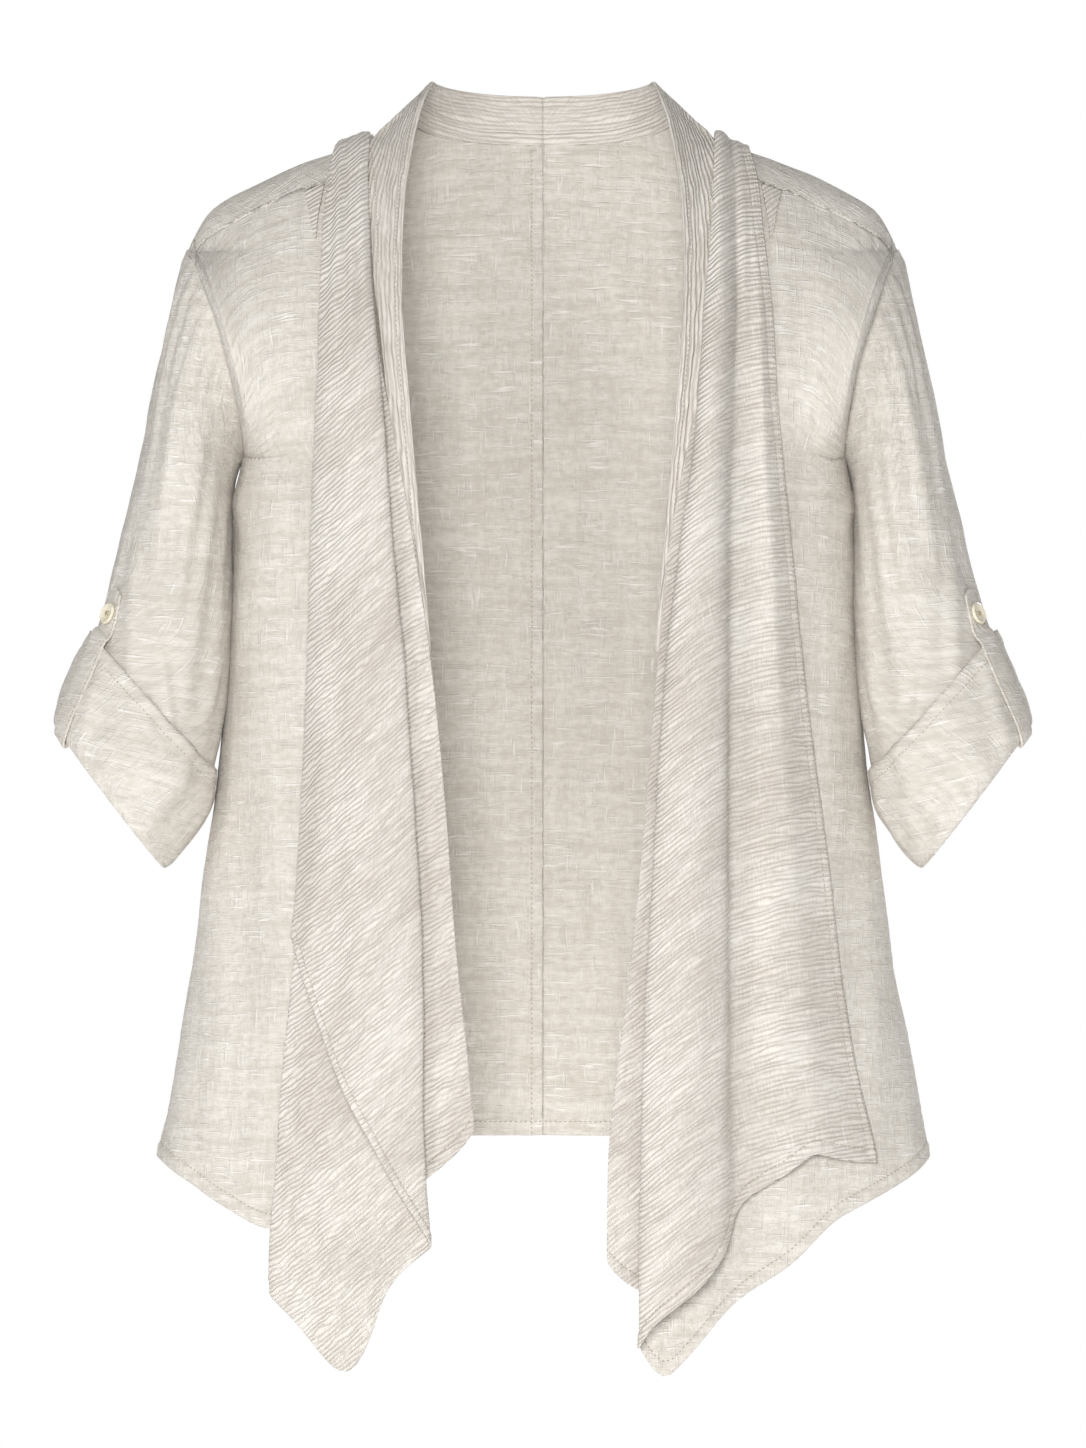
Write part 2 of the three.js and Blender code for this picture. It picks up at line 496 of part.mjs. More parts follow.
// A waterfall drape: its section's guide points at each height, joined by a smooth curve
function drapeGrid(folds, section) {
  const ends = section.map((guide) => guide.end);
  const guidesAt = (z, depthPart) => ({
    x: section.map((g) => mix(read(folds, 'z', z, g.from), read(folds, 'z', z, g.to), g.part)),
    lift: section.map((g) => mix(g.top, g.low, depthPart)),
  });
  const shoulderEnd = DRAPE_OVER[DRAPE_OVER.length - 1];
  const grid = [];
  for (let i = 0; i < DRAPE_OVER.length + DRAPE_ROWS; i += 1) {
    const row = [];
    for (let j = 0; j <= DRAPE_COLUMNS; j += 1) {
      const s = (section.length - 1) * j / DRAPE_COLUMNS;
      const ridge = read(RIDGE, 'x', splineRead(guidesAt(folds[0].z, 0).x, s), 'z');
      const over = i < DRAPE_OVER.length;
      const down = ((i - DRAPE_OVER.length + 1) / DRAPE_ROWS) ** DRAPE_SPREAD;
      const z = over ? ridge - Math.abs(DRAPE_OVER[i]) : mix(ridge - shoulderEnd, splineRead(ends, s), down);
      const grown = clamp((ridge - z) / (ridge - DRAPE_GROWN_Z), 0, 1);
      const guides = guidesAt(z, grown * grown * (3 - 2 * grown));
      const x = splineRead(guides.x, s);
      const drop = over ? DRAPE_OVER[i] : read(RIDGE, 'x', x, 'z') - z;
      row.push(bodyPoint(x, drop, splineRead(guides.lift, s)));
    }
    grid.push(row);
  }
  return grid;
}

// Collar band from the centre back over the shoulder and down the front edge
function collarGrid() {
  const grid = COLLAR_BACK.map((row) => {
    const fold = new THREE.Vector3(row.foldX, row.foldY, row.foldZ);
    const seam = new THREE.Vector3(row.seamX, row.seamY, row.seamZ + BAND / 2);
    return [0, 0.5, 1].map((t) => fold.clone().lerp(seam, t));
  });
  for (const row of COLLAR_FRONT) {
    grid.push([0, 0.5, 1].map((t) => {
      const x = mix(row.foldX, row.seamX, t);
      const z = mix(row.foldZ, row.seamZ, t);
      return bodyPoint(x, read(RIDGE, 'x', x, 'z') - z, row.lift);
    }));
  }
  return grid;
}

// A point on the sleeve: place along it in rings, angle round it from the outside to the front, and lift
function sleevePoint(ring, angle, lift) {
  const rows = SLEEVE.map((row, i) => ({ i, ...row }));
  const value = (column) => {
    const last = rows.length - 1;
    if (ring <= last) return read(rows, 'i', ring, column);
    const step = rows[last][column] - rows[last - 1][column];
    return rows[last][column] + step * (ring - last);
  };
  const halfX = (value('outX') - value('inX')) / 2;
  const halfZ = (value('outZ') - value('inZ')) / 2;
  const reach = Math.hypot(halfX, halfZ);
  const forward = Math.sin(angle);
  const out = Math.cos(angle);
  const grown = (reach + lift) / reach;
  return new THREE.Vector3(
    value('inX') + halfX + halfX * out * grown - value('scoop') * Math.abs(forward),
    value('midY') - (value('half') + lift) * forward,
    value('inZ') + halfZ + halfZ * out * grown,
  );
}

const roundSleeve = (ring, lift) => Array.from({ length: SLEEVE_SIDES }, (_, k) => (
  sleevePoint(ring, 2 * Math.PI * k / SLEEVE_SIDES, lift)
));

const sleeveGrid = () => SLEEVE_ROWS.map((ring) => roundSleeve(ring, 0));
const cuffGrid = () => CUFF.map((row) => roundSleeve(row.ring, row.lift));

// Roll-up tab, pointed at its buttoned end, passing under the cuff into the sleeve
const tabGrid = () => TAB.map((row, i) => [-1, -0.5, 0, 0.5, 1].map((k) => {
  const point = i === 0 ? -TAB_POINT * (1 - Math.abs(k)) : 0;
  return sleevePoint(row.ring + point, TAB_ANGLE + k * TAB_HALF_ANGLE, row.lift);
}));

const gussetGrid = () => GUSSET.map((row) => [0, 0.5, 1].map((t) => (
  bodyPoint(mix(row.inX, row.outX, t), row.drop, GUSSET_LIFT)
)));

// Button with four holes, bevelled at its rim
function buttonGeometry() {
  const outline = new THREE.Shape();
  outline.absarc(0, 0, BUTTON_R - BUTTON_BEVEL, 0, 2 * Math.PI, false);
  for (let k = 0; k < BUTTON_HOLES; k += 1) {
    const angle = Math.PI / 4 + k * Math.PI / 2;
    const hole = new THREE.Path();
    const x = BUTTON_HOLE_OUT * Math.cos(angle);
    const y = BUTTON_HOLE_OUT * Math.sin(angle);
    hole.absarc(x, y, BUTTON_HOLE_R, 0, 2 * Math.PI, true);
    outline.holes.push(hole);
  }
  const geometry = new THREE.ExtrudeGeometry(outline, {
    depth: BUTTON_THICK - 2 * BUTTON_BEVEL, curveSegments: BUTTON_CURVE, steps: 1,
    bevelEnabled: true, bevelThickness: BUTTON_BEVEL, bevelSize: BUTTON_BEVEL_WIDE, bevelSegments: 1,
  });
  return geometry.translate(0, 0, BUTTON_BEVEL);
}

// Places a button on its tab, facing out of the sleeve
function addButton(name, sign) {
  const flip = (p) => new THREE.Vector3(p.x * sign, p.y, p.z);
  const lift = TAB[0].lift + STRAP / 2 + SEAM;
  const seat = flip(sleevePoint(BUTTON_RING, TAB_ANGLE, lift));
  const along = flip(sleevePoint(BUTTON_RING + FACING_RING, TAB_ANGLE, lift)).sub(seat);
  const across = flip(sleevePoint(BUTTON_RING, TAB_ANGLE + FACING_ANGLE, lift)).sub(seat);
  const facing = across.cross(along).normalize().multiplyScalar(sign);
  const mesh = addPiece(name, buttonGeometry(), buttonFinish);
  mesh.quaternion.setFromUnitVectors(new THREE.Vector3(0, 0, 1), facing);
  mesh.position.copy(seat).addScaledVector(facing, SEAM);
}

for (const [side, sign] of [['left', -1], ['right', 1]]) {
  const drape = side === 'left' ? drapeGrid(LEFT_FOLDS, LEFT_SECTION) : drapeGrid(RIGHT_FOLDS, RIGHT_SECTION);
  addPiece(`back_${side}`, clothWall(toSide(backGrid(), sign), CLOTH), linen);
  addPiece(`front_${side}`, clothWall(toSide(frontGrid(side), sign), CLOTH), linen);
  addPiece(`drape_${side}`, clothWall(toSide(drape, sign), CLOTH), crepe);
  addPiece(`collar_${side}`, clothWall(toSide(collarGrid(), sign), BAND), crepe);
  addPiece(`gusset_${side}`, clothWall(toSide(gussetGrid(), sign), CLOTH), crepe);
  addPiece(`sleeve_${side}`, clothWall(toSide(sleeveGrid(), sign), CLOTH, true), linen);
  addPiece(`cuff_${side}`, clothWall(toSide(cuffGrid(), sign), CUFF_CLOTH, true), linen);
  addPiece(`tab_${side}`, clothWall(toSide(tabGrid(), sign), STRAP), linen);
  addButton(`button_${side}`, sign);
}

export default jacket;
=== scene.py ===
# %% [markdown]
# # A linen kimono jacket with draped crepe fronts
# The jacket is filled out as when worn, with nobody in it. Its rigid solids come from the imported frame.
# Each cloth piece is made again here as a thin sheet on the same curves, with creases, hems and stitches.
# We start by loading the frame.

# %% Load the frame
import math
import bmesh
import bpy
import numpy as np
from mathutils import Matrix, Vector


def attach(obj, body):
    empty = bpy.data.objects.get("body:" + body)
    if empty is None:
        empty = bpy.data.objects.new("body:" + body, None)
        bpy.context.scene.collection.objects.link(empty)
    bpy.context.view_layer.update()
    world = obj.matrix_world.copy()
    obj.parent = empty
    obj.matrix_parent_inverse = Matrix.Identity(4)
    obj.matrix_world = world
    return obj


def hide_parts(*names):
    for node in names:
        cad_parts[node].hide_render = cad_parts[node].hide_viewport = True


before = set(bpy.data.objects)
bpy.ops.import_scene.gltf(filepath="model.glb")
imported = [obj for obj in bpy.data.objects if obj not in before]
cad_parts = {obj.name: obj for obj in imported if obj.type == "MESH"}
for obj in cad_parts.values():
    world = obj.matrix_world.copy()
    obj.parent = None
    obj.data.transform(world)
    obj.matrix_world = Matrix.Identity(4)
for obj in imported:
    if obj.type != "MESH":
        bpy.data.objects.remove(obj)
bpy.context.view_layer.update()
MM = 0.001

# %% [markdown]
# ## Driving sizes
# The cutting table of the jacket, in millimetres, the same values as the solids have. Short tables with
# named columns are easier to correct by eye than long lists of points, and a smooth reading between their
# rows gives as many points as a fine mesh needs.

# %% Sizes and tables of the body
CLOTH, BAND, STRAP, CUFF_CLOTH, SEAM = 1.2, 2.2, 1.5, 1.6, 0.3
HEM_Z, UNDERARM_Z, TIP_Z, TIP_X, UNDERARM_X = -628, -192, -65, 222, 187
FRONT_TOP_X, ARMHOLE_FRONT, ARMHOLE_BACK, ARMHOLE_SCOOP = 92, 55, 58, 8
SHOULDER_ROUND, ROUND_POWER = 200, 1.6
PANEL_POWER, SHOULDER_POWER, ARMHOLE_POWER = 2.3, 4, 10


def table(columns, *rows):
    """A short table with named columns, as arrays."""
    return dict(zip(columns.split(), np.array(rows, float).T))


RIDGE = table("x z", (0, 62), (60, 50), (69, 40.5), (78, 30), (88, 18.5), (97, 11), (108, 6), (128, -1.5),
              (147, -8), (167, -16), (189, -27), (201, -34), (209, -41), (217, -54), (222, -65))
SHOULDER_SEAM = table("x drop", (90, 18), (196, 18), (210, 15), (222, 8))
BODY = table("z width front back", (62, 222, 96, 92), (-192, 187, 104, 97), (-215, 191.2, 104, 97),
             (-250, 192.8, 104, 98), (-300, 193.6, 103, 98), (-345, 196.2, 103, 98), (-395, 200.5, 103, 99),
             (-450, 207.5, 105, 102), (-510, 216, 107, 106), (-555, 225, 109, 110), (-600, 234, 111, 114),
             (-630, 241, 113, 117), (-770, 248, 118, 125))
BACK_HEM = table("x z", (0, -620), (120, -621), (200, -624), (241, -628))
FRONT_HEM = {
    "left": table("x z", (62, -628), (90, -640), (120, -655), (145, -666), (168, -670), (197, -656),
                  (214, -645), (241, -628)),
    "right": table("x z", (58, -741), (66, -754), (75, -760), (85, -751), (95, -739), (115, -715),
                   (150, -691), (175, -667), (195, -656), (220, -643), (241, -628)),
}
FRONT_INNER = {
    "left": table("z x", (20, 92), (-60, 108), (-150, 112), (-330, 96), (-450, 78), (-600, 64), (-640, 62)),
    "right": table("z x", (20, 92), (-60, 108), (-150, 110), (-330, 92), (-450, 78), (-600, 66),
                   (-700, 61), (-760, 58)),
}

# %% [markdown]
# ## Reading a table smoothly
# A table's rows are joined by a cubic curve, with the slope at each row taken from its neighbours. It is
# worked out for whole arrays at once, so a mesh of twenty thousand points takes milliseconds.

# %% Smooth reading
def mix(a, b, t):
    return a + (b - a) * t


def read(rows, key, value, column):
    """Smooth reading of a column at values of the key, held level past both ends."""
    k, c = rows[key], rows[column]
    if k[0] > k[-1]:
        k, c = k[::-1], c[::-1]
    value = np.clip(value, k[0], k[-1])
    slope = np.gradient(c)
    slope[1:-1] = (c[2:] - c[:-2]) / (k[2:] - k[:-2])
    slope[[0, -1]] = (c[1] - c[0]) / (k[1] - k[0]), (c[-1] - c[-2]) / (k[-1] - k[-2])
    i = np.clip(np.searchsorted(k, value) - 1, 0, len(k) - 2)
    step = k[i + 1] - k[i]
    t = (value - k[i]) / step
    start = (2 * t**3 - 3 * t**2 + 1) * c[i] + (t**3 - 2 * t**2 + t) * step * slope[i]
    return start + (3 * t**2 - 2 * t**3) * c[i + 1] + (t**3 - t**2) * step * slope[i + 1]


def ridge_z(x):
    """Height of the shoulder ridge."""
    return read(RIDGE, "x", x, "z")


print("half width at the hem:", float(read(BODY, "z", HEM_Z, "width")), "mm")

# %% [markdown]
# ## The form of the body
# Seen from above the jacket is a flattened oval, and its shoulders round over into the ridge. One function
# gives how far in front of or behind the ridge the cloth lies, at each place seen from the front.

# %% Body surface
def edge_at(z, side):
    """The body's edge: side seam below the underarm, armhole above it."""
    half = (TIP_Z - UNDERARM_Z) / 2
    up = np.clip((z - UNDERARM_Z - half) / half, -1, 1)
    out = np.sqrt(1 - up * up)
    middle = (TIP_X + UNDERARM_X) / 2
    armhole = middle + (TIP_X - middle) * up - ARMHOLE_SCOOP * out
    x = np.where(z <= UNDERARM_Z, read(BODY, "z", z, "width"), np.where(z >= TIP_Z, TIP_X, armhole))
    return x, (ARMHOLE_BACK if side > 0 else ARMHOLE_FRONT) * out


def body_y(x, z, side):
    """Depth of the body, side -1 in front and 1 behind."""
    drop = np.maximum(0, ridge_z(x) - z)
    upright = np.maximum(0, 1 - drop / SHOULDER_ROUND)
    turn = (1 - upright**ROUND_POWER) ** (1 / ROUND_POWER)
    depth = read(BODY, "z", z, "back" if side > 0 else "front") * turn
    edge_x, edge_y = edge_at(z, side)
    out = np.clip(x / edge_x, 0, 1)
    up = np.clip((z - UNDERARM_Z) / (TIP_Z - UNDERARM_Z), 0, 1)
    power = mix(PANEL_POWER, SHOULDER_POWER, up)
    return side * (edge_y * out**ARMHOLE_POWER + depth * (1 - out**power) ** (1 / power))


def body_point(x, drop, lift):
    """Points on the body, lifted off it; a negative drop lies behind the ridge."""
    ridge = ridge_z(x)

    def at(d):
        z = ridge - np.abs(d)
        return np.where(d < 0, body_y(x, z, 1), body_y(x, z, -1)), z

    y, z = at(drop)
    step = np.clip(np.abs(drop) / 8, 0.6, 6)
    ahead, behind = at(drop + step), at(drop - step)
    along_y, along_z = ahead[0] - behind[0], ahead[1] - behind[1]
    size = np.hypot(along_y, along_z)
    return np.stack([x, y + lift * along_z / size, z - lift * along_y / size], -1)


# %% [markdown]
# ## Laying a fine grid
# A cloth's grid should be even, and finer along its hems, where stitches pull. So each column is first
# traced densely and then walked by its length.

# %% Even spacing along columns
HEM_ZONE = 14      # width of the finer zone along a hem
FINE_ROWS = 11     # rows in that zone
BACK_LOW_ROWS, FRONT_LOW_ROWS, UPPER_ROWS, OVER_ROWS = 120, 140, 140, 40   # of the dense tracing
BACK_LEVEL = 0.93  # up to this share of the shortest column the back's rows lie side by side


def spacing(length, rows, start=0.0, end=0.0, level=None):
    """Places along a length: even, with finer ones close to a sewn start or end.

    Up to a level, if one is given, the rows of long and short columns lie side by side.
    """
    parts = [np.linspace(start, length - end, rows)]
    if level:
        upper = rows // 6
        parts = [np.linspace(start, level, rows - upper), np.linspace(level, length - end, upper + 1)[1:]]
    if start:
        parts.insert(0, np.linspace(0, start, FINE_ROWS)[:-1])
    if end:
        parts.append(np.linspace(length - end, length, FINE_ROWS)[1:])
    return np.concatenate(parts)


def arc_lengths(path):
    steps = np.linalg.norm(np.diff(path, axis=0), axis=-1)
    return np.concatenate([np.zeros((1,) + steps.shape[1:]), np.cumsum(steps, axis=0)])


def walk(path, rows, start=0.0, end=0.0, level_share=None):
    """Resamples every column of a dense path by its length."""
    arcs = arc_lengths(path)
    level = level_share and level_share * arcs[-1].min()
    columns = []
    for c in range(path.shape[1]):
        places = spacing(arcs[-1, c], rows, start, end, level)
        columns.append(np.stack([np.interp(places, arcs[:, c], path[:, c, k]) for k in range(3)], -1))
    return np.stack(columns, axis=1)


# %% [markdown]
# ## Back and fronts
# The back is cut in two halves, from the hem up over the shoulder to a seam that lies forward of the ridge.
# The fronts run from the side seam to an edge that the drapes hide.

# %% Grids of the back and the fronts
COLLAR_BACK = table("foldX foldY foldZ seamX seamY seamZ", (-0.3, 50, 36, -0.3, 56, 6.4),
                    (25, 48, 36.8, 27, 55, 6.8), (44, 41, 38.2, 49, 50.5, 8.4), (58, 29, 40, 69, 41.5, 12),
                    (66, 15, 41.8, 86, 22, 17.4), (69, 2, 42.2, 99, 0, 14.2))


def shoulder_seam(share, side):
    top_x = share * TIP_X
    z = ridge_z(top_x) - read(SHOULDER_SEAM, "x", top_x, "drop") + side * SEAM / 2
    return share * edge_at(z, -1)[0], z


def closing_in():
    """Steps from 0 to 1 that close in on both ends."""
    return (1 - np.cos(np.linspace(0, 1, UPPER_ROWS) * math.pi))[:, None] / 2


def back_points(columns, rows):
    share = np.sin(math.pi / 2 * spacing(1, columns, start=0.05))[None, :]
    hem = read(BACK_HEM, "x", share * read(BODY, "z", HEM_Z, "width"), "z")
    ridge_x = share * TIP_X
    at_neck = ridge_x < FRONT_TOP_X
    neck = read(COLLAR_BACK, "seamX", ridge_x, "seamZ") - SEAM - CLOTH / 2
    top = np.where(at_neck, neck, ridge_z(ridge_x))
    low = np.linspace(0, 1, BACK_LOW_ROWS)[:-1, None]
    z = np.concatenate([mix(hem, UNDERARM_Z, low), mix(UNDERARM_Z, top, closing_in())])
    x = np.maximum(SEAM / 2, share * edge_at(z, 1)[0])
    behind = np.stack([x, np.maximum(body_y(x, z, 1), SEAM / 2), z], -1)
    seam_x, seam_z = shoulder_seam(share, 1)
    part = np.where(at_neck, 0, np.linspace(0, 1, OVER_ROWS)[1:, None] ** 2)
    over_x, over_z = mix(x[-1:], seam_x, part), mix(z[-1:], seam_z, part)
    over_y = np.where(at_neck, behind[-1:, :, 1], body_y(over_x, over_z, -1))
    path = np.concatenate([behind, np.stack([over_x, over_y, over_z], -1)])
    return walk(path, rows, start=HEM_ZONE, level_share=BACK_LEVEL)


def front_points(side, columns, rows):
    first = 2 / math.pi * math.asin(FRONT_TOP_X / TIP_X)
    share = np.sin(math.pi / 2 * np.linspace(first, 1, columns))[None, :]
    part = (share * TIP_X - FRONT_TOP_X) / (TIP_X - FRONT_TOP_X)
    hem_x = mix(FRONT_HEM[side]["x"][0], read(BODY, "z", HEM_Z, "width"), part)
    hem = read(FRONT_HEM[side], "x", hem_x, "z")
    seam_z = shoulder_seam(share, -1)[1]
    low = np.linspace(0, 1, FRONT_LOW_ROWS)[:-1, None]
    z = np.concatenate([mix(hem, UNDERARM_Z, low), mix(UNDERARM_Z, seam_z, closing_in())])
    x = mix(read(FRONT_INNER[side], "z", z, "x"), edge_at(z, -1)[0], part)
    path = np.stack([x, np.minimum(body_y(x, z, -1), -SEAM / 2), z], -1)
    return walk(path, rows, start=HEM_ZONE)


# %% [markdown]
# ## Waterfall drapes
# Each crepe front is one long cloth that zigzags from its free edge to the opening. Its section is a soft
# curve along guide points, each placed between two fold lines, so the folds widen towards the hem.

# %% Fold lines and sections of the drapes
LEFT_FOLDS = table(
    "z outer roll inner opening", (12, 126, 108, 124, 106), (-20, 134, 109, 128, 107),
    (-80, 137, 107, 130, 106), (-131, 139, 102, 131, 101), (-180, 141, 97, 134, 92), (-240, 143, 93, 136, 81),
    (-321, 146, 85, 139, 69), (-409, 150, 79, 143, 60), (-492, 155, 74, 153, 54), (-567, 161, 73, 161, 46),
    (-636, 166, 72, 166, 40), (-680, 169, 69, 169, 40), (-760, 169, 69, 169, 40))
RIGHT_FOLDS = table(
    "z seam forward valley roll turn opening", (12, 125, 121, 115, 108, 112, 107),
    (-22, 133, 129, 119, 106, 116, 107.5), (-63, 137, 131, 119, 103, 116, 106),
    (-111, 142, 133, 118, 99, 115, 102), (-159, 145, 135, 117, 95, 112, 95.5),
    (-207, 149, 137, 116, 90, 109, 85), (-254, 154, 140, 116, 83, 104, 77), (-316, 160, 143, 116, 75, 98, 71),
    (-387, 169, 148, 116, 70, 94, 65), (-459, 178, 153, 117, 66, 92, 59), (-531, 187, 158, 117, 62, 90, 51),
    (-577, 195, 163, 117, 60, 88, 45), (-630, 206, 166, 118, 59, 86, 40), (-760, 212, 169, 118, 57, 84, 40))


def guides(groups):
    """Guide points: two fold lines, how far along, lift at the shoulder and below, height of the end."""
    return [(*pair.split(), *row) for pair, rows in groups.items() for row in rows]


LEFT_SECTION = guides({
    "outer roll": [(0.16, 4.2, 10.5, -478), (0.0, 4.3, 10.5, -484), (0.0, 5.5, 15.5, -492),
                   (0.2, 6.4, 22.0, -534), (0.45, 6.6, 25.0, -590), (0.75, 6.5, 24.0, -634),
                   (1.0, 5.9, 19.5, -679)],
    "roll inner": [(0.0, 4.7, 13.5, -681), (0.28, 4.7, 9.5, -702), (0.34, 4.7, 11.5, -731),
                   (0.52, 4.7, 13.0, -770), (0.78, 4.7, 9.5, -731), (1.0, 4.6, 8.2, -712)],
    "inner opening": [(0.0, 3.3, 4.8, -706), (0.3, 3.3, 4.4, -680), (0.74, 3.0, 5.8, -640),
                      (0.94, 3.1, 6.6, -620), (1.0, 3.1, 6.2, -608)]})
RIGHT_SECTION = guides({
    "seam forward": [(0.0, 3.8, 3.7, -631), (0.35, 3.7, 5.2, -630), (0.8, 3.3, 10.3, -626)],
    "forward valley": [(0.0, 3.6, 11.5, -624), (0.3, 3.4, 7.5, -636), (0.7, 3.7, 6.0, -646)],
    "valley roll": [(0.0, 4.2, 8.0, -656), (0.06, 5.2, 16.0, -680), (0.3, 6.4, 26.0, -704),
                    (0.62, 6.7, 28.0, -718), (0.9, 6.2, 23.0, -732), (1.0, 5.3, 17.0, -746)],
    "roll turn": [(0.12, 4.6, 11.5, -736), (1.0, 4.3, 8.6, -716)],
    "turn opening": [(0.0, 2.9, 5.2, -714), (0.4, 2.9, 4.2, -712), (0.85, 2.9, 5.2, -700),
                     (1.0, 3.0, 5.0, -690)]})
DRAPE_BEHIND, DRAPE_SHOULDER, DRAPE_GROWN_Z, DRAPE_SPREAD = -7, 22, -190, 1.4

# %% Grid of a drape
def spline(values, s):
    """Soft curve that keeps inside its guide values, read at places s counted in guides."""
    values = np.asarray(values, float)
    ends = np.concatenate([[2 * values[0] - values[1]], values, [2 * values[-1] - values[-2]]])
    i = np.minimum(s.astype(int), len(values) - 2)
    t = s - i
    weights = ((1 - t)**3, 3 * t**3 - 6 * t**2 + 4, -3 * t**3 + 3 * t**2 + 3 * t + 1, t**3)
    if values.ndim == 1:
        return sum(w * ends[i + k] for k, w in enumerate(weights)) / 6
    each = np.arange(len(s))
    return sum(w[:, None] * ends[i + k, :, each] for k, w in enumerate(weights)).T / 6


def drape_points(folds, section, columns, rows):
    s = np.linspace(0, len(section) - 1, columns)

    top_x = spline([mix(folds[a][0], folds[b][0], part) for a, b, part, *_ in section], s)
    ridge = ridge_z(top_x)[None, :]
    end = spline([row[-1] for row in section], s)[None, :]
    over = np.linspace(DRAPE_BEHIND, DRAPE_SHOULDER, OVER_ROWS)[:, None]
    down = np.linspace(0, 1, 260)[1:, None] ** DRAPE_SPREAD
    z = np.concatenate([ridge - np.abs(over), mix(ridge - DRAPE_SHOULDER, end, down)])
    x = spline([mix(read(folds, "z", z, a), read(folds, "z", z, b), part) for a, b, part, *_ in section], s)
    level = ridge_z(x) - z
    start = np.concatenate([over, np.full(down.shape, DRAPE_SHOULDER)])
    drop = start + np.clip(start / DRAPE_SHOULDER, 0, 1) * (level - start)
    grown = np.clip((ridge - z) / (ridge - DRAPE_GROWN_Z), 0, 1)
    grown = grown * grown * (3 - 2 * grown)
    lift = spline([mix(high, low, grown) for *_, high, low, _ in section], s)
    return walk(body_point(x, drop, lift), rows, end=HEM_ZONE)


# %% [markdown]
# ## Collar, sleeves, cuffs, tabs
# The collar band stands round the neck and lies down each front. A sleeve is a tube through oval rings, and
# the cuff and the roll-up tab are laid on it at small distances, so they follow its bend.

# %% Tables of the collar, sleeve, cuff and tab
COLLAR_FRONT = table("foldX foldZ seamX seamZ lift", (74, 27, 104, 3, 3.4), (78, 14, 104.5, -6, 3.2),
                     (81, -2, 104, -18, 3.0), (84.5, -24, 103.5, -34, 2.8), (86.5, -50, 103, -56, 2.6),
                     (87, -80, 102, -82, 2.4), (86, -113, 98.5, -113, 2.4), (83, -150, 94.5, -150, 2.4),
                     (79.5, -190, 90.5, -190, 2.4), (76, -230, 84.5, -230, 2.4),
                     (72.5, -270, 78.5, -270, 2.4), (69, -315, 72, -315, 2.4))
COLLAR_LAP_Y, COLLAR_LAP_Z = -3.4, -2.2   # how the band laps over the top of the back
COLLAR_UNDER = 1.2                        # its width in front, as a share, with what the drape covers
SLEEVE = table(
    "ring outX outZ inX inZ midY half scoop", (0, 223.4, -65.6, 189, -193.6, 1.5, 56.5, 8),
    (1, 229, -84, 191, -200, 1, 58, 4), (2, 235.5, -116, 193.5, -211, 0, 60, 0),
    (3, 243.5, -152, 194.5, -225, -2, 61, 0), (4, 254, -205, 194.5, -246, -5, 60, 0),
    (5, 264, -248, 195, -274, -9, 58, 0), (6, 270, -272, 197, -312, -13, 56, 0),
    (7, 274, -288, 200, -350, -17, 55, 0), (8, 279, -302, 205.5, -384, -20, 54, 0),
    (9, 288.5, -325, 212, -411, -24, 53, 0), (10, 299, -350, 230, -437, -28, 52, 0))
CUFF = table("row ring lift", (0, 9.5, -1.9), (1, 10.0, -1.6), (2, 10.3, -0.4), (3, 10.36, 1.4),
             (4, 10.22, 3.2), (5, 9.9, 4.2), (6, 9.3, 4.6), (7, 8.6, 4.1), (8, 8.05, 3.2))
TAB = table("row ring lift", (0, 6.1, 1.9), (1, 6.5, 1.9), (2, 7.0, 1.9), (3, 7.4, 1.9), (4, 7.7, 3.4),
            (5, 7.88, 5.6), (6, 8.1, 6.4), (7, 8.6, 6.6), (8, 9.2, 6.8), (9, 9.8, 6.8), (10, 10.25, 5.6),
            (11, 10.5, 2.2), (12, 10.3, -1.6), (13, 9.9, -2.2), (14, 9.2, -2.2))
SLEEVE_TUCK = 0.25                      # how far the sleeve reaches under the armhole's edge, in rings
SLEEVE_STEP = np.array([5.6, 0, -12.0])   # one ring's step at the armhole
TAB_ANGLE, TAB_HALF_ANGLE, TAB_POINT = math.radians(34), math.radians(9.5), 0.14
BUTTON_RING = 6.93
GUSSET = table("row drop inX outX", (0, 19, 136, 149), (1, 30, 138, 146), (2, 42, 140, 144),
               (3, 52, 140.5, 141.8))
GUSSET_LIFT = 1.6

# %% Grids of the collar, sleeve, cuff and tab
def through_rows(points, rows):
    """Fine rows on a smooth curve through coarse ones."""
    index = np.arange(len(points), dtype=float)
    fine = np.linspace(0, len(points) - 1, rows)
    flat = points.reshape(len(points), -1)
    fields = [read({"row": index, "v": flat[:, k]}, "row", fine, "v") for k in range(flat.shape[1])]
    return np.stack(fields, -1).reshape((rows,) + points.shape[1:])


def collar_points(columns, rows):
    t = np.linspace(0, 1, columns)[:, None]
    coarse = []
    for x, y, z, seam_x, seam_y, seam_z in zip(*COLLAR_BACK.values()):
        seam = np.array([seam_x, seam_y + COLLAR_LAP_Y, seam_z + BAND / 2 + COLLAR_LAP_Z])
        coarse.append(mix(np.array([x, y, z]), seam, t))
    for fold_x, fold_z, seam_x, seam_z, lift in zip(*COLLAR_FRONT.values()):
        x, z = (mix(a, b, t[:, 0] * COLLAR_UNDER) for a, b in ((fold_x, seam_x), (fold_z, seam_z)))
        coarse.append(body_point(x, ridge_z(x) - z, lift))
    return walk(through_rows(np.array(coarse), 400), rows)


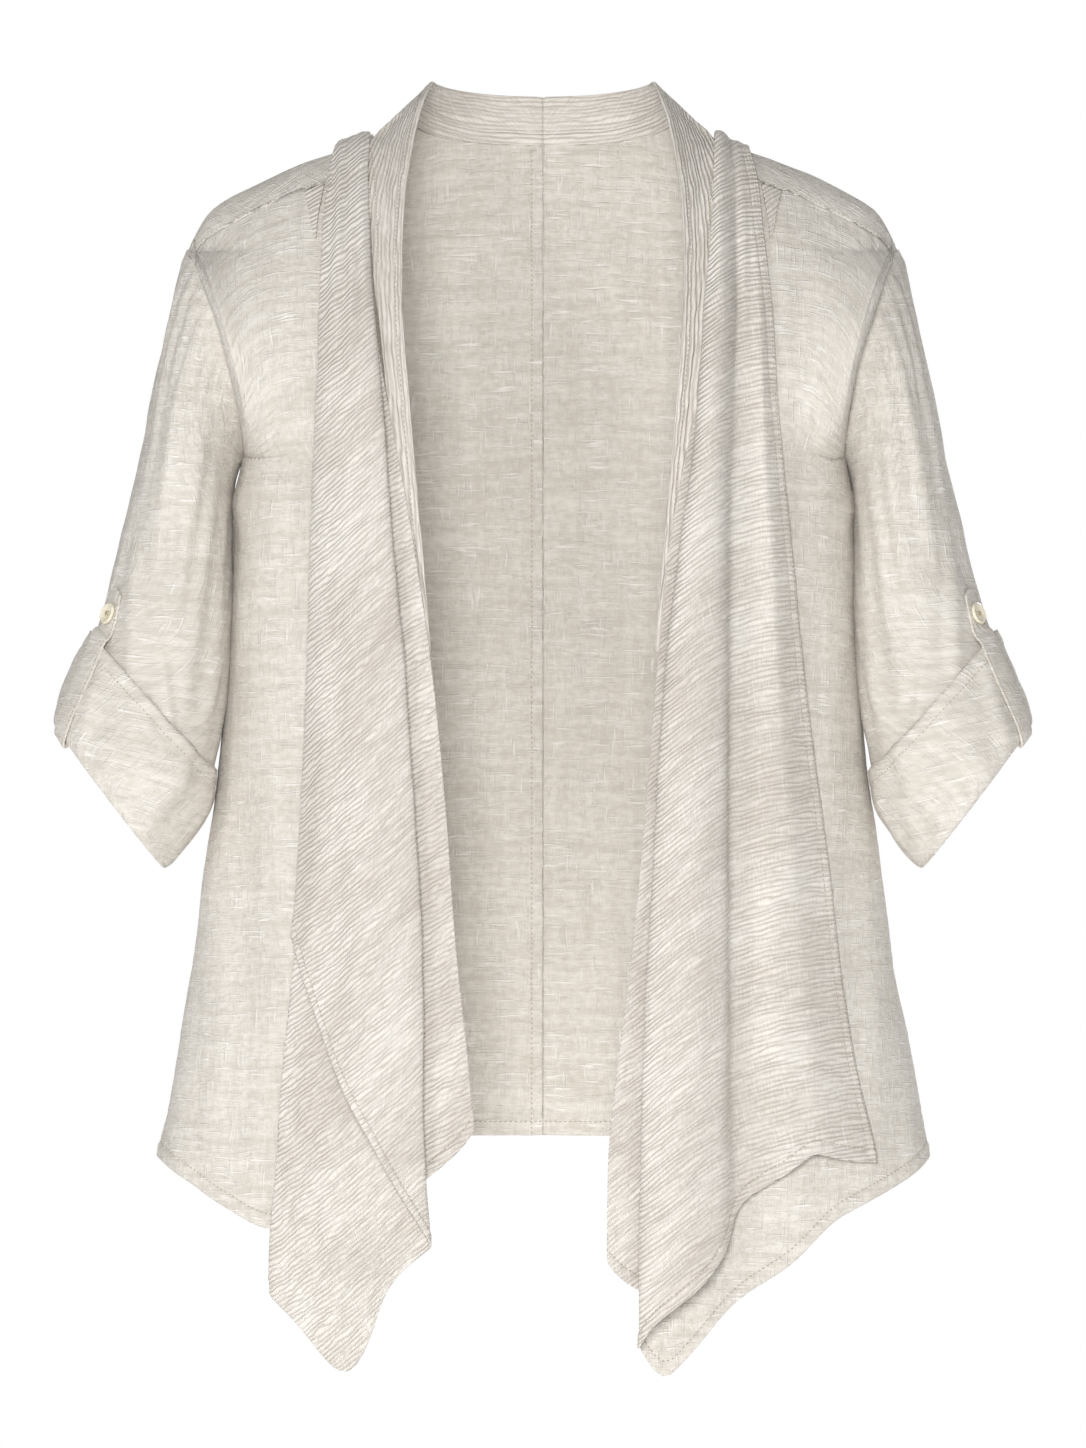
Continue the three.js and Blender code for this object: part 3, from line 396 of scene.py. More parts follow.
def sleeve_point(ring, angle, lift):
    """A point on the sleeve; the angle runs from the outside to the front."""
    last = SLEEVE["ring"][-1]

    def value(column):
        beyond = np.maximum(ring - last, 0) * (SLEEVE[column][-1] - SLEEVE[column][-2])
        return read(SLEEVE, "ring", ring, column) + beyond

    half_x, half_z = (value("outX") - value("inX")) / 2, (value("outZ") - value("inZ")) / 2
    reach = np.hypot(half_x, half_z)
    out = np.cos(angle) * (reach + lift) / reach
    x = value("inX") + half_x + half_x * out - value("scoop") * np.abs(np.sin(angle))
    y = value("midY") - (value("half") + lift) * np.sin(angle)
    return np.stack(np.broadcast_arrays(x, y, value("inZ") + half_z + half_z * out), -1)


def round_angles(sides):
    """Angles once round, starting and ending at the underarm seam."""
    return np.linspace(-math.pi, math.pi, sides + 1)[None, :]


def sleeve_points(sides, rows):
    ring = np.linspace(-SLEEVE_TUCK, 10, rows)[:, None]
    return sleeve_point(ring, round_angles(sides), 0) + np.minimum(ring, 0)[..., None] * SLEEVE_STEP


def cuff_points(sides, rows):
    row = np.linspace(0, 8, rows)[:, None]
    return sleeve_point(read(CUFF, "row", row, "ring"), round_angles(sides), read(CUFF, "row", row, "lift"))


def tab_points(columns, rows):
    row = np.linspace(0, 14, rows)[:, None]
    across = np.linspace(-1, 1, columns)[None, :]
    point = TAB_POINT * (1 - np.abs(across)) * np.clip(1 - row, 0, 1)
    ring = read(TAB, "row", row, "ring") - point
    return sleeve_point(ring, TAB_ANGLE + across * TAB_HALF_ANGLE, read(TAB, "row", row, "lift"))


def gusset_points(columns, rows):
    row = np.linspace(0, 3, rows)[:, None]
    t = np.linspace(0, 1, columns)[None, :]
    x = mix(read(GUSSET, "row", row, "inX"), read(GUSSET, "row", row, "outX"), t)
    return body_point(x, read(GUSSET, "row", row, "drop") + 0 * x, GUSSET_LIFT)


# %% [markdown]
# ## Creases
# Soft cloth shows broad troughs and ridges that fade out at their ends. Each one is given, seen
# from the front or the back, as a line with a bow, a width and a height. A ridge has a shallow trough
# beside it, which is what the eye reads as a fold.

# %% Creases, hems and puckers
STITCH_GROOVE = 0.9                              # half width of the groove that a stitch line presses in
HEM_WIDTH = 9                                    # from the hem's edge to its stitch line
HEM_BAND, HEM_LINE, HEM_PUCKER = 0.5, 0.85, 0.62   # heights


def bell(distance, width):
    """1 on a line, fading to nothing beside it."""
    return np.exp(-(distance / width)**2)


def fold(off, width, trough):
    """A ridge with a shallow trough beside it."""
    return bell(off, width) - trough * bell(off - 1.7 * width, width)


def creases(points, rows):
    """Height of creases, each given as x0 z0 x1 z1 bow width height."""
    x, z = points[..., 0], points[..., 2]
    total = np.zeros(x.shape)
    for x0, z0, x1, z1, bow, width, height in rows:
        dx, dz = x1 - x0, z1 - z0
        length = math.hypot(dx, dz)
        t = ((x - x0) * dx + (z - z0) * dz) / length**2
        fade = np.sin(math.pi * np.clip(t, 0, 1)) ** 0.8
        off = ((x - x0) * dz - (z - z0) * dx) / length + bow * np.sin(math.pi * np.clip(t, 0, 1))
        total += height * fade * fold(off, width, 0.45)
    return total


def ripple(place, seed):
    """Uneven waves along a seam, from a few sines whose lengths don't repeat together."""
    rng = np.random.default_rng(seed)
    total = 0
    for wave in (5.3, 7.9, 11.7, 17.3):
        total = total + rng.uniform(0.5, 1) * np.sin(2 * math.pi * (place / wave + rng.uniform()))
    return total / 3


def hem_relief(edge, along, seed, strength=1.0):
    """A turned hem: slightly raised band, a sunk stitch line and small puckers across it."""
    away = edge - HEM_WIDTH
    band = HEM_BAND / (1 + np.exp(away / 0.5))
    pucker = HEM_PUCKER * ripple(along, seed) * bell(away, 5.5)
    return strength * (band - HEM_LINE * bell(away, STITCH_GROOVE) + pucker)


def crumple(points, seed, size, height):
    """Slight unevenness all over, from a few long sines in random directions."""
    rng = np.random.default_rng(seed)
    total = np.zeros(points.shape[:-1])
    for _ in range(14):
        direction = rng.normal(size=3)
        direction /= np.linalg.norm(direction) * size * rng.uniform(0.6, 1.8)
        total += np.sin(2 * math.pi * (points @ direction + rng.uniform()))
    return height * total / 4


# %% [markdown]
# ## From grid to cloth
# Every sheet is a bmesh grid whose points are moved to their places. It gets two UV maps in metres: one for
# the weave, and one that runs along and across the crinkle ribs. Solidify gives it its thickness.

# %% Sheet maker
LEFT_SHIFT = 700     # moves the weave of the left pieces, so that the two sides aren't mirror images
SIDES = {"left": -1, "right": 1}
SHEETS = {           # material slot, how it is held, wall, width and length of the cut
    "back": ("linen", "hung", CLOTH, 250, 730), "front": ("linen", "hung", CLOTH, 185, 730),
    "drape": ("crepe", "draped", CLOTH, 330, 800), "collar": ("crepe", "folded", BAND, 36, 470),
    "gusset": ("crepe", "hung", CLOTH, 16, 40), "sleeve": ("linen", "hung", CLOTH, 460, 400),
    "cuff": ("linen", "folded", CUFF_CLOTH, 460, 130), "tab": ("linen", "folded", STRAP, 24, 190)}
sheets = {}


def normals_of(points, closed):
    across = np.gradient(points, axis=1)
    if closed:
        across[:, [0, -1]] = ((points[:, 1] - points[:, -2]) / 2)[:, None]
    n = np.cross(across, np.gradient(points, axis=0))
    return n / np.maximum(np.linalg.norm(n, axis=-1, keepdims=True), 1e-9)


def mesh_of(bm, name):
    """A mesh with what the bmesh holds, which is then let go."""
    mesh = bpy.data.meshes.new(name)
    bm.to_mesh(mesh)
    bm.free()
    return mesh


def linked(name, data):
    """A new object in the scene."""
    made = bpy.data.objects.new(name, data)
    bpy.context.scene.collection.objects.link(made)
    return made


def grid_mesh(name, points, maps, flip, weld):
    rows, columns = points.shape[:2]
    bm = bmesh.new()
    bmesh.ops.create_grid(bm, x_segments=columns - 1, y_segments=rows - 1, size=1.0)
    flat = (points * MM).reshape(-1, 3)
    order = [round((v.co.y + 1) / 2 * (rows - 1)) * columns + round((v.co.x + 1) / 2 * (columns - 1))
             for v in bm.verts]
    for v, place in zip(bm.verts, order):
        v.co = flat[place]
    if flip:
        bmesh.ops.reverse_faces(bm, faces=bm.faces[:])
    mesh = mesh_of(bm, name)
    corner = np.zeros(len(mesh.loops), int)
    mesh.loops.foreach_get("vertex_index", corner)
    places = np.array(order)[corner]
    for title, (u, v) in maps.items():
        layer = mesh.uv_layers.new(name=title)
        uv = np.stack([u.reshape(-1)[places], v.reshape(-1)[places]], -1) * MM
        layer.data.foreach_set("uv", uv.astype(np.float32).reshape(-1))
    if weld:
        bm = bmesh.new()
        bm.from_mesh(mesh)
        bmesh.ops.remove_doubles(bm, verts=bm.verts[:], dist=1e-6)
        bm.to_mesh(mesh)
        bm.free()
    return mesh


def finish_piece(name, mesh, material, node=None):
    piece = linked(name, mesh)
    mesh.shade_smooth()
    mesh.materials.append(material)
    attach(piece, "root")
    if node:
        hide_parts(node)
    return piece


def mirrored(points, side):
    """Points of the right side, or their mirror image for the left."""
    return points * [SIDES[side], 1, 1]


def add_sheet(kind, side, points, reference, relief, rib=None, closed=False, soften=0):
    """Makes one cloth piece of the shape of its CAD node, from points in millimetres."""
    slot, held, thickness, width, length = SHEETS[kind]
    node = f"{kind}_{side}"
    name = node + "_sheet"
    normal = normals_of(points, closed)
    flip = float((normal * reference).sum()) < 0
    normal = -normal if flip else normal
    down = arc_lengths(points)
    across = arc_lengths(points.swapaxes(0, 1)).T
    moved = points + normal * relief(points, down, across)[..., None]
    grow = np.sign(points[-1, :, 2].mean() - points[0, :, 2].mean())
    u = np.abs(points[:, :1, 0]) + across + LEFT_SHIFT * (side == "left")
    v = points[:1, :, 2] + grow * down
    maps = {"cloth": (u, v), "ribs": rib(points, v, across) if rib else (u, v)}
    mesh = grid_mesh(name, moved, maps, flip, closed)
    piece = finish_piece(name, mesh, MATERIALS[slot], node)
    wall = piece.modifiers.new("wall", "SOLIDIFY")
    wall.thickness, wall.offset = thickness * MM, 0
    if soften:
        soft = piece.modifiers.new("soften", "SUBSURF")
        soft.levels = soft.render_levels = soften
    sheets[node] = {"points": moved, "normal": normal, "down": down, "across": across, "wall": thickness}


# %% [markdown]
# ## Shader maths
# Materials are easier to read as formulas. A small class wraps a socket, so that adding or multiplying two
# values adds the Math node that does it.

# %% Socket class
class Value:
    """A shader value whose operators add Math nodes."""

    tree = None

    def __init__(self, socket):
        self.socket = socket

    @classmethod
    def node(cls, kind, settings=None, **inputs):
        made = cls.tree.nodes.new(kind)
        for key, setting in (settings or {}).items():
            setattr(made, key, setting)
        for key, value in inputs.items():
            target = made.inputs[int(key[1:])] if key[1:].isdigit() else made.inputs[key.replace("_", " ")]
            if isinstance(value, Value):
                cls.tree.links.new(value.socket, target)
            else:
                target.default_value = value
        return made

    @classmethod
    def math(cls, operation, a, b=0.0):
        return Value(cls.node("ShaderNodeMath", {"operation": operation}, i0=a, i1=b).outputs[0])

    def __add__(self, other):
        return Value.math("ADD", self, other)

    def __sub__(self, other):
        return Value.math("SUBTRACT", self, other)

    def __rsub__(self, other):
        return Value.math("SUBTRACT", other, self)

    def __mul__(self, other):
        return Value.math("MULTIPLY", self, other)

    __radd__, __rmul__ = __add__, __mul__

    def power(self, exponent):
        return Value.math("POWER", self, exponent)

    def sine(self):
        return Value.math("SINE", self)

    def between(self, low, high):
        """0 below low, 1 above high, smooth in between."""
        made = Value.node("ShaderNodeMapRange", {"interpolation_type": "SMOOTHSTEP"}, Value=self,
                          From_Min=low, From_Max=high)
        return Value(made.outputs["Result"])


def parts_of(place):
    """The three coordinates of a place."""
    parts = Value.node("ShaderNodeSeparateXYZ", None, Vector=Value(place))
    return [Value(parts.outputs[k]) for k in "XYZ"]


def uv_parts(title):
    """The two coordinates of a UV map."""
    return parts_of(Value.node("ShaderNodeUVMap", {"uv_map": title}).outputs["UV"])[:2]


def object_parts():
    """The three coordinates on an object."""
    return parts_of(Value.node("ShaderNodeTexCoord").outputs["Object"])


def noise(x, y, detail=2.0, rough=0.5, shift=0.0):
    """Noise at x, y, which are in cells: metres times cells per metre."""
    place = Value.node("ShaderNodeCombineXYZ", None, X=x, Y=y, Z=shift)
    made = Value.node("ShaderNodeTexNoise", {"noise_dimensions": "3D"}, Vector=Value(place.outputs[0]),
                      Scale=1.0, Detail=detail, Roughness=rough)
    return Value(made.outputs["Fac"])


def tint(factor, low, high):
    """Colour between two colours."""
    made = Value.node("ShaderNodeMix", {"data_type": "RGBA", "blend_type": "MIX"}, i0=factor, i6=low, i7=high)
    return Value(made.outputs[2])


def srgb(r, g, b):
    """Linear colour of an sRGB one."""
    parts = [c / 255 for c in (r, g, b)]
    return (*[p / 12.92 if p <= 0.04045 else ((p + 0.055) / 1.055) ** 2.4 for p in parts], 1.0)


def new_material(title, roughness, sheen):
    made = bpy.data.materials.new(title)
    made.use_nodes = True
    Value.tree = made.node_tree
    shader = made.node_tree.nodes["Principled BSDF"]
    for socket, amount in (("Roughness", roughness), ("Sheen Weight", sheen), ("Sheen Roughness", 0.5),
                           ("Specular IOR Level", 0.25)):
        shader.inputs[socket].default_value = amount
    return made, shader


def connect(shader, colour, height=None, distance=0.0, strength=1.0):
    """Gives a shader its colour and, with a height, a bump as deep as the distance in metres."""
    tree = Value.tree
    tree.links.new(colour.socket, shader.inputs["Base Color"])
    if height is not None:
        bump = Value.node("ShaderNodeBump", None, Height=height, Distance=distance, Strength=strength)
        tree.links.new(bump.outputs["Normal"], shader.inputs["Normal"])


# %% [markdown]
# ## Linen
# Washed slub linen: fine threads both ways, now and then a thicker one that catches the light, and soft
# mottled bands. All of it comes from noise stretched along the threads, read from the cloth's own map.

# %% Linen material
LINEN_DARK, LINEN_PALE, LINEN_SLUB = srgb(200, 193, 183), srgb(225, 220, 212), srgb(242, 239, 234)
THREADS, THREAD_LENGTHS = 1150, 90     # cells per metre, across and along a thread
SLUBS, SLUB_LENGTHS = 620, 42          # the same for the thicker threads
THREAD_WANDER, LINEN_RELIEF = 0.004, 0.0006   # metres


def make_linen():
    made, shader = new_material("linen", 0.9, 0.12)
    u, v = uv_parts("cloth")
    bend_u = u + noise(u * 40, v * 40, 1, shift=21.0) * THREAD_WANDER
    bend_v = v + noise(u * 40, v * 40, 1, shift=24.0) * THREAD_WANDER
    weft = noise(bend_u * THREAD_LENGTHS, bend_v * THREADS, 2)
    warp = noise(bend_u * THREADS, bend_v * THREAD_LENGTHS, 2, shift=3.0)
    weft_slub = noise(bend_u * SLUB_LENGTHS, bend_v * SLUBS, 1, shift=7.0).between(0.56, 0.7)
    warp_slub = noise(bend_u * SLUBS, bend_v * SLUB_LENGTHS, 1, shift=9.0).between(0.58, 0.72)
    bands = noise(u * 18, bend_v * 170, 3, shift=12.0)
    posts = noise(bend_u * 150, v * 16, 3, shift=13.0)
    mottle = noise(u * 190, v * 250, 4, rough=0.65, shift=15.0)
    cloud = noise(u * 12, v * 15, 2, shift=18.0)
    shade = 0.24 * bands + 0.12 * posts + 0.3 * mottle + 0.1 * cloud + 0.14 * weft + 0.1 * warp
    base = tint(shade.between(0.4, 0.62), LINEN_DARK, LINEN_PALE)
    slubs = (weft_slub * 0.62 + warp_slub * 0.5).between(0.0, 0.9)
    colour = tint(slubs * 0.8, base, LINEN_SLUB)
    height = weft * 0.5 + warp * 0.5 + weft_slub * 0.7 + warp_slub * 0.6 + mottle * 1.3 + bands * 1.0
    connect(shader, colour, height, LINEN_RELIEF, 0.9)
    return made


MATERIALS = {"linen": make_linen()}
print("linen nodes:", len(MATERIALS["linen"].node_tree.nodes))

# %% [markdown]
# ## Crinkled crepe
# The crepe has soft, wavy ribs two to three millimetres apart, with thin lines of painted shade between them
# that fade, merge and start again. They follow the cloth's second UV map, which is turned with the bias of the
# cut.

# %% Crepe material
RIB_PITCH, RIB_RELIEF = 0.0026, 0.0009   # metres
CREPE_DARK, CREPE_PALE = srgb(208, 201, 192), srgb(231, 226, 219)
# colour of the painted shade in the rib valleys, and of the paler cross threads
CREPE_VALLEY_SHADE, CREPE_THREAD = srgb(172, 162, 149), srgb(242, 239, 233)


def make_crepe():
    made, shader = new_material("crepe", 0.88, 0.14)
    along, across = uv_parts("ribs")
    sway = noise(along * 24, across * 90, 2, shift=2.0)
    merge = noise(along * 70, across * 280, 2, shift=5.0)
    phase = across * (2 * math.pi / RIB_PITCH) + sway * 13.0 + merge * 5.0
    wave = phase.sine() * 0.5 + 0.5
    streak = noise(along * 80, across * 560, 2, shift=8.0)
    depth = noise(along * 45, across * 130, 2, shift=11.0).between(0.32, 0.62)
    # painted shade: the colour darkens in the valleys between the ribs, more in some places than in others
    valley = (1.0 - wave).power(3.5) * (0.25 + 0.75 * depth)
    thread = noise(along * 1100, across * 150, 1, shift=14.0)
    cross = noise(along * 520, across * 36, 1, shift=19.0).between(0.62, 0.74)
    cloud = noise(along * 12, across * 18, 2, shift=17.0)
    tone = 0.5 * cloud + 0.12 * streak + 0.38 * thread
    base = tint(tone.between(0.36, 0.64), CREPE_DARK, CREPE_PALE)
    valley_shaded = tint(valley * 0.72, base, CREPE_VALLEY_SHADE)
    colour = tint(cross * 0.3, valley_shaded, CREPE_THREAD)
    height = wave * 0.9 + streak * 0.22 + thread * 0.2
    connect(shader, colour, height, RIB_RELIEF, 0.9)
    return made


MATERIALS["crepe"] = make_crepe()
print("crepe nodes:", len(MATERIALS["crepe"].node_tree.nodes))

# %% [markdown]
# ## Button and thread
# The buttons look like cream corozo or horn, with a faint grain and a satin polish. The thread is linen
# coloured, with a twist that shows only close to; its grooves are darkened with painted shade.

# %% Button and thread materials
def make_button():
    made, shader = new_material("button", 0.32, 0.0)
    shader.inputs["Specular IOR Level"].default_value = 0.5
    x, y, z = object_parts()
    grain = noise(x * 260 + y * 70, z * 900, 3)
    cream = tint(grain.between(0.35, 0.7), srgb(226, 217, 192), srgb(241, 235, 215))
    connect(shader, cream, grain, 0.0001, 0.4)
    return made


def make_thread(title, groove_shade, light):
    made, shader = new_material(title, 0.8, 0.1)
    x, y, z = object_parts()
    twist = ((x + y * 0.7 + z) * 5200.0).sine() * 0.5 + 0.5
    # painted shade: the grooves of the twist get the darker colour
    connect(shader, tint(twist, srgb(*groove_shade), srgb(*light)), twist, 0.0001, 0.5)
    return made


MATERIALS["button"] = make_button()
# the first colour of each thread is the painted shade in its twist's grooves
MATERIALS["thread"] = make_thread("thread", (160, 150, 134), (196, 187, 173))
MATERIALS["button_thread"] = make_thread("button thread", (150, 138, 112), (190, 178, 150))
print("materials:", sorted(MATERIALS))

# %% [markdown]
# ## Creases given one by one
# Folds of the linen, seen from the front and from the back, in millimetres. Broad ones hang from the
# shoulder to the hem, and short ones gather below the seams. The back, which the photograph doesn't show
# from outside, gets similar ones.

# %% Tables of creases
FRONT_CREASES = {
    "left": [(-196, -95, -184, -470, 10, 11, 2.4), (-172, -60, -160, -330, -6, 9, 1.8),
             (-190, -250, -200, -660, -8, 13, 3.6), (-168, -300, -176, -700, 6, 11, 2.8),
             (-212, -420, -226, -680, -4, 9, 2.7), (-158, -430, -150, -700, 5, 10, 2.2),
             (-205, -205, -172, -262, 3, 6, 1.4), (-196, -215, -160, -232, -3, 5, 1.0),
             (-150, -25, -146, -120, 3, 6, 1.2)],
    "right": [(196, -95, 186, -450, -8, 11, 2.2), (174, -60, 168, -300, 5, 9, 1.8),
              (192, -240, 206, -660, 8, 12, 3.3), (176, -330, 192, -600, -5, 9, 2.0),
              (214, -430, 230, -680, 5, 9, 2.5), (205, -205, 174, -258, -3, 6, 1.4),
              (198, -216, 164, -236, 3, 5, 1.0), (152, -25, 150, -120, -3, 6, 1.2)],
}
BACK_CREASES = {
    "left": [(-30, -40, -40, -600, 6, 16, 2.0), (-85, -20, -96, -660, -8, 15, 2.8),
             (-140, -90, -150, -660, 7, 14, 2.5), (-185, -200, -212, -660, -6, 12, 2.8),
             (-60, -330, -66, -680, 3, 11, 1.9), (-200, -110, -120, -150, 8, 9, 1.8),
             (-190, -200, -110, -235, -6, 8, 1.5), (-120, 0, -60, -110, 5, 10, 1.4)],
    "right": [(34, -60, 48, -620, -6, 15, 2.1), (90, -10, 92, -650, 7, 16, 2.5),
              (146, -110, 158, -660, -6, 13, 2.8), (184, -220, 206, -660, 6, 12, 2.5),
              (116, -380, 124, -690, 3, 10, 2.0), (198, -104, 128, -158, -8, 9, 1.6),
              (190, -205, 116, -228, 6, 8, 1.4), (116, -4, 66, -120, -5, 10, 1.2)],
}
LEFT_DRAPE_CREASES = [
    (-126, 30, -131, -120, 3, 3.2, 2.0), (-119, 30, -120, -150, 2, 3.0, 1.8),
    (-113, 30, -108, -110, -2, 2.6, 1.5), (-136, -260, -140, -520, 4, 8, 1.8),
    (-112, -200, -104, -700, -5, 9, 2.1), (-128, -520, -120, -800, 4, 8, 2.2)]
RIGHT_DRAPE_CREASES = [
    (112, 30, 110, -120, -2, 3.0, 1.5), (120, 30, 124, -150, 2, 3.2, 1.7),
    (88, -330, 80, -720, 5, 9, 1.8), (104, -260, 100, -640, -4, 8, 1.5),
    (134, -300, 136, -640, 4, 9, 2.0), (146, -420, 158, -700, -4, 8, 1.8),
    (117, -180, 118, -700, 0, 5, -3.1), (128, -240, 130, -660, 0, 9, -2.0)]
for side, rows in BACK_CREASES.items():
    print(side, "back creases:", len(rows), "front creases:", len(FRONT_CREASES[side]))

# %% [markdown]
# ## The back
# Each half is one sheet from the hem over the shoulder. The seam allowance of the centre back seam is
# pressed to the left and stitched down, so the left half has a slightly raised strip there.

# %% Make the back
ALLOWANCE = 8        # width of the pressed seam allowance
SEAM_FADE = 6        # over this distance the relief grows in from a sewn edge


def back_relief(side):
    def relief(points, down, across):
        total = creases(points, BACK_CREASES[side]) * np.clip(across / 25, 0, 1)
        total = total + crumple(points, 11, 55, 0.35) + crumple(points, 12, 24, 0.12)
        total = total + hem_relief(down, across, 21)
        seam = -0.5 * bell(across, 1.1)
        pucker = 0.22 * ripple(down, 23) * bell(across, 6)
        if side == "left":
            inward = across - ALLOWANCE
            seam = seam - 0.6 * bell(inward, STITCH_GROOVE) + 0.3 * (inward < 0)
            pucker = 0.55 * ripple(down, 24) * bell(inward, 5)
        below = down[-1:] - down
        head = np.clip(1 - below / 26, 0, 1) * (1 - bell(below, 3)) * np.clip(across / 120 - 0.6, 0, 1)
        return total * np.clip(below / SEAM_FADE, 0, 1) + seam + pucker + 0.5 * head * ripple(across * 0.8, 25)
    return relief


for side in SIDES:
    add_sheet("back", side, mirrored(back_points(78, 168), side), [0, 1, 0], back_relief(side))

# %% [markdown]
# ## The fronts
# Linen, plain, with soft vertical folds from the shoulder and a few creases from the underarm. Small
# puckers hang below the shoulder seam.

# %% Make the fronts
def front_relief(side):
    def relief(points, down, across):
        total = creases(points, FRONT_CREASES[side]) + crumple(points, 31, 50, 0.35)
        total = total + crumple(points, 32, 22, 0.12) + hem_relief(down, across, 33)
        below = down[-1:] - down
        head = np.clip(1 - below / 42, 0, 1) ** 1.3 * (1 - bell(below, 4))
        total = total * np.clip(below / SEAM_FADE, 0, 1) + 0.95 * head * ripple(across * 0.85, 35)
        side_seam = across[:, -1:] - across
        return total - 0.4 * bell(side_seam, 1.5) + 0.25 * ripple(down, 36) * bell(side_seam, 6)
    return relief


for side in SIDES:
    add_sheet("front", side, mirrored(front_points(side, 66, 176), side), [0, -1, 0], front_relief(side))

# %% [markdown]
# ## The drapes
# The crepe runs on the bias: its ribs rise to the right across both fronts, steep on the rolls and nearly
# level beside the seam of the right one. The rib map turns by an angle that changes across the cloth, as
# seen from the front, so the ribs of a layer that folds back run the same way too.

# %% Make the drapes
# folds, guide points, creases, and the rise of the ribs in degrees at shares of the width
DRAPES = {
    "left": (LEFT_FOLDS, LEFT_SECTION, LEFT_DRAPE_CREASES, [0, 0.35, 0.6, 0.8, 1], [40, 42, 40, 34, 26]),
    "right": (RIGHT_FOLDS, RIGHT_SECTION, RIGHT_DRAPE_CREASES, [0, 0.15, 0.3, 0.42, 0.7, 1],
              [4, 12, 22, 34, 40, 30])}


def turned(points, across, shares, slopes):
    """Rib map that makes the ribs rise to the right by given degrees at given shares of the width."""
    slope = np.interp(across / across[:, -1:], shares, slopes)
    step = np.diff(points[..., 0], axis=1, prepend=points[:, :1, 0])
    rise = np.cumsum(step * np.tan(np.radians(slope)), axis=1)
    mean = math.radians(float(np.mean(slope)))
    return across / math.cos(mean), (points[..., 2] - rise) * math.cos(mean)


def drape_relief(rows, seamed):
    def relief(points, down, across):
        shown = np.clip(1.5 - np.abs(across / across[:, -1:] - 0.3) * 3, 0, 1)
        total = creases(points, rows) * shown + crumple(points, 41, 60, 0.4)
        total = total + hem_relief(down[-1:] - down, across, 43)
        line = -0.35 * bell(across - 6, STITCH_GROOVE) + 0.3 * ripple(down, 44) * bell(across - 4, 5)
        far = across[:, -1:] - across
        return total + line * seamed - 0.3 * bell(far - HEM_WIDTH, STITCH_GROOVE)
    return relief


for side in SIDES:
    folds, section, rows, shares, slopes = DRAPES[side]
    add_sheet("drape", side, mirrored(drape_points(folds, section, 150, 150), side), [0, -1, 0],
              drape_relief(rows, side == "right"), rib=lambda p, v, across: turned(p, across, shares, slopes))

# %% [markdown]
# ## Collar and gussets
# The collar is a doubled band of crepe, so it is thicker and its folded edge is round. Subdivision after
# Solidify rounds it. The small gussets sit below the shoulder seams.

# %% Make the collar and the gussets
NECK_LENGTH = 92                 # length of the band behind the neck, on each side
COLLAR_LINES = (4.5, 9.0)        # grooves, from the folded edge; the first is stitched
BINDING_WIDTH, STRIP_WIDTH = 10, 5   # raised: along the lower edge, and on each side of the middle


def collar_relief(points, down, across):
    lines = sum(bell(across - place, 0.8) for place in COLLAR_LINES)
    far = across[:, -1:] - across
    behind = 1 / (1 + np.exp((down - NECK_LENGTH) / 5))
    binding = 0.9 * np.exp(-((far - 4.5) / 3.6)**4) - 0.6 * bell(far - BINDING_WIDTH, STITCH_GROOVE)
    middle = 0.6 / (1 + np.exp((down - STRIP_WIDTH) / 0.4))
    return (-0.3 * lines - 0.25 * bell(far - 5, 0.8) * (1 - behind) + 0.28 * ripple(down, 51)
            + binding * behind + middle + crumple(points, 52, 30, 0.25))


for side in SIDES:
    add_sheet("collar", side, mirrored(collar_points(20, 150), side), [0, -1, 0], collar_relief,
              rib=lambda p, v, across: (v, across), soften=1)
    add_sheet("gusset", side, mirrored(gusset_points(10, 24), side), [0, -1, 0],
              lambda p, down, across: crumple(p, 53, 20, 0.15),
              rib=lambda p, v, across: turned(p, across, [0, 1], [30, 30]))

# %% [markdown]
# ## Sleeves and cuffs
# The sleeve head is gathered into the armhole, and from there long soft folds fall to the cuff. Near the
# tab the rolled cloth bunches. Folds on a tube are easier to place by angle round it, in degrees from the
# outside over the front, and by ring along it.

# %% Tables of sleeve folds
# angle0 angle1 ring0 ring1 width height
SLEEVE_FOLDS = [
    (18, 26, 0.1, 3.2, 5, 1.5), (34, 40, 0.0, 4.6, 6, 1.8), (50, 52, 0.1, 3.0, 5, 1.3),
    (64, 70, 0.0, 5.4, 8, 1.9), (80, 92, 0.1, 2.4, 6, 1.1), (104, 96, 1.5, 6.6, 9, 2.2),
    (128, 112, 2.2, 8.0, 9, 2.0), (150, 140, 3.0, 9.6, 8, 1.8), (46, 74, 4.6, 8.8, 8, 1.8),
    (30, 16, 4.0, 7.6, 7, 1.3), (84, 124, 6.4, 9.4, 7, 1.6), (166, 128, 5.4, 8.0, 6, 1.5),
    (170, 150, 4.4, 5.8, 5, 1.2), (-20, -30, 0.1, 3.0, 6, 1.5), (-42, -48, 0.0, 4.6, 7, 1.7),
    (-66, -78, 0.1, 5.6, 9, 1.9), (-96, -100, 1.4, 7.0, 10, 2.2), (-128, -118, 2.4, 8.6, 9, 1.9),
    (-152, -146, 3.4, 9.0, 8, 1.6), (-40, -80, 5.4, 9.0, 8, 1.5), (-166, -120, 5.0, 7.6, 6, 1.3)]
CUFF_FOLDS = [(40, 62, 7.6, 11, 7, 2.1), (88, 80, 7.6, 11, 9, 1.9), (130, 118, 7.6, 11, 7, 1.9),
              (-50, -60, 7.6, 11, 9, 2.2), (-110, -100, 7.6, 11, 9, 2.1), (160, 166, 7.6, 11, 7, 1.4)]


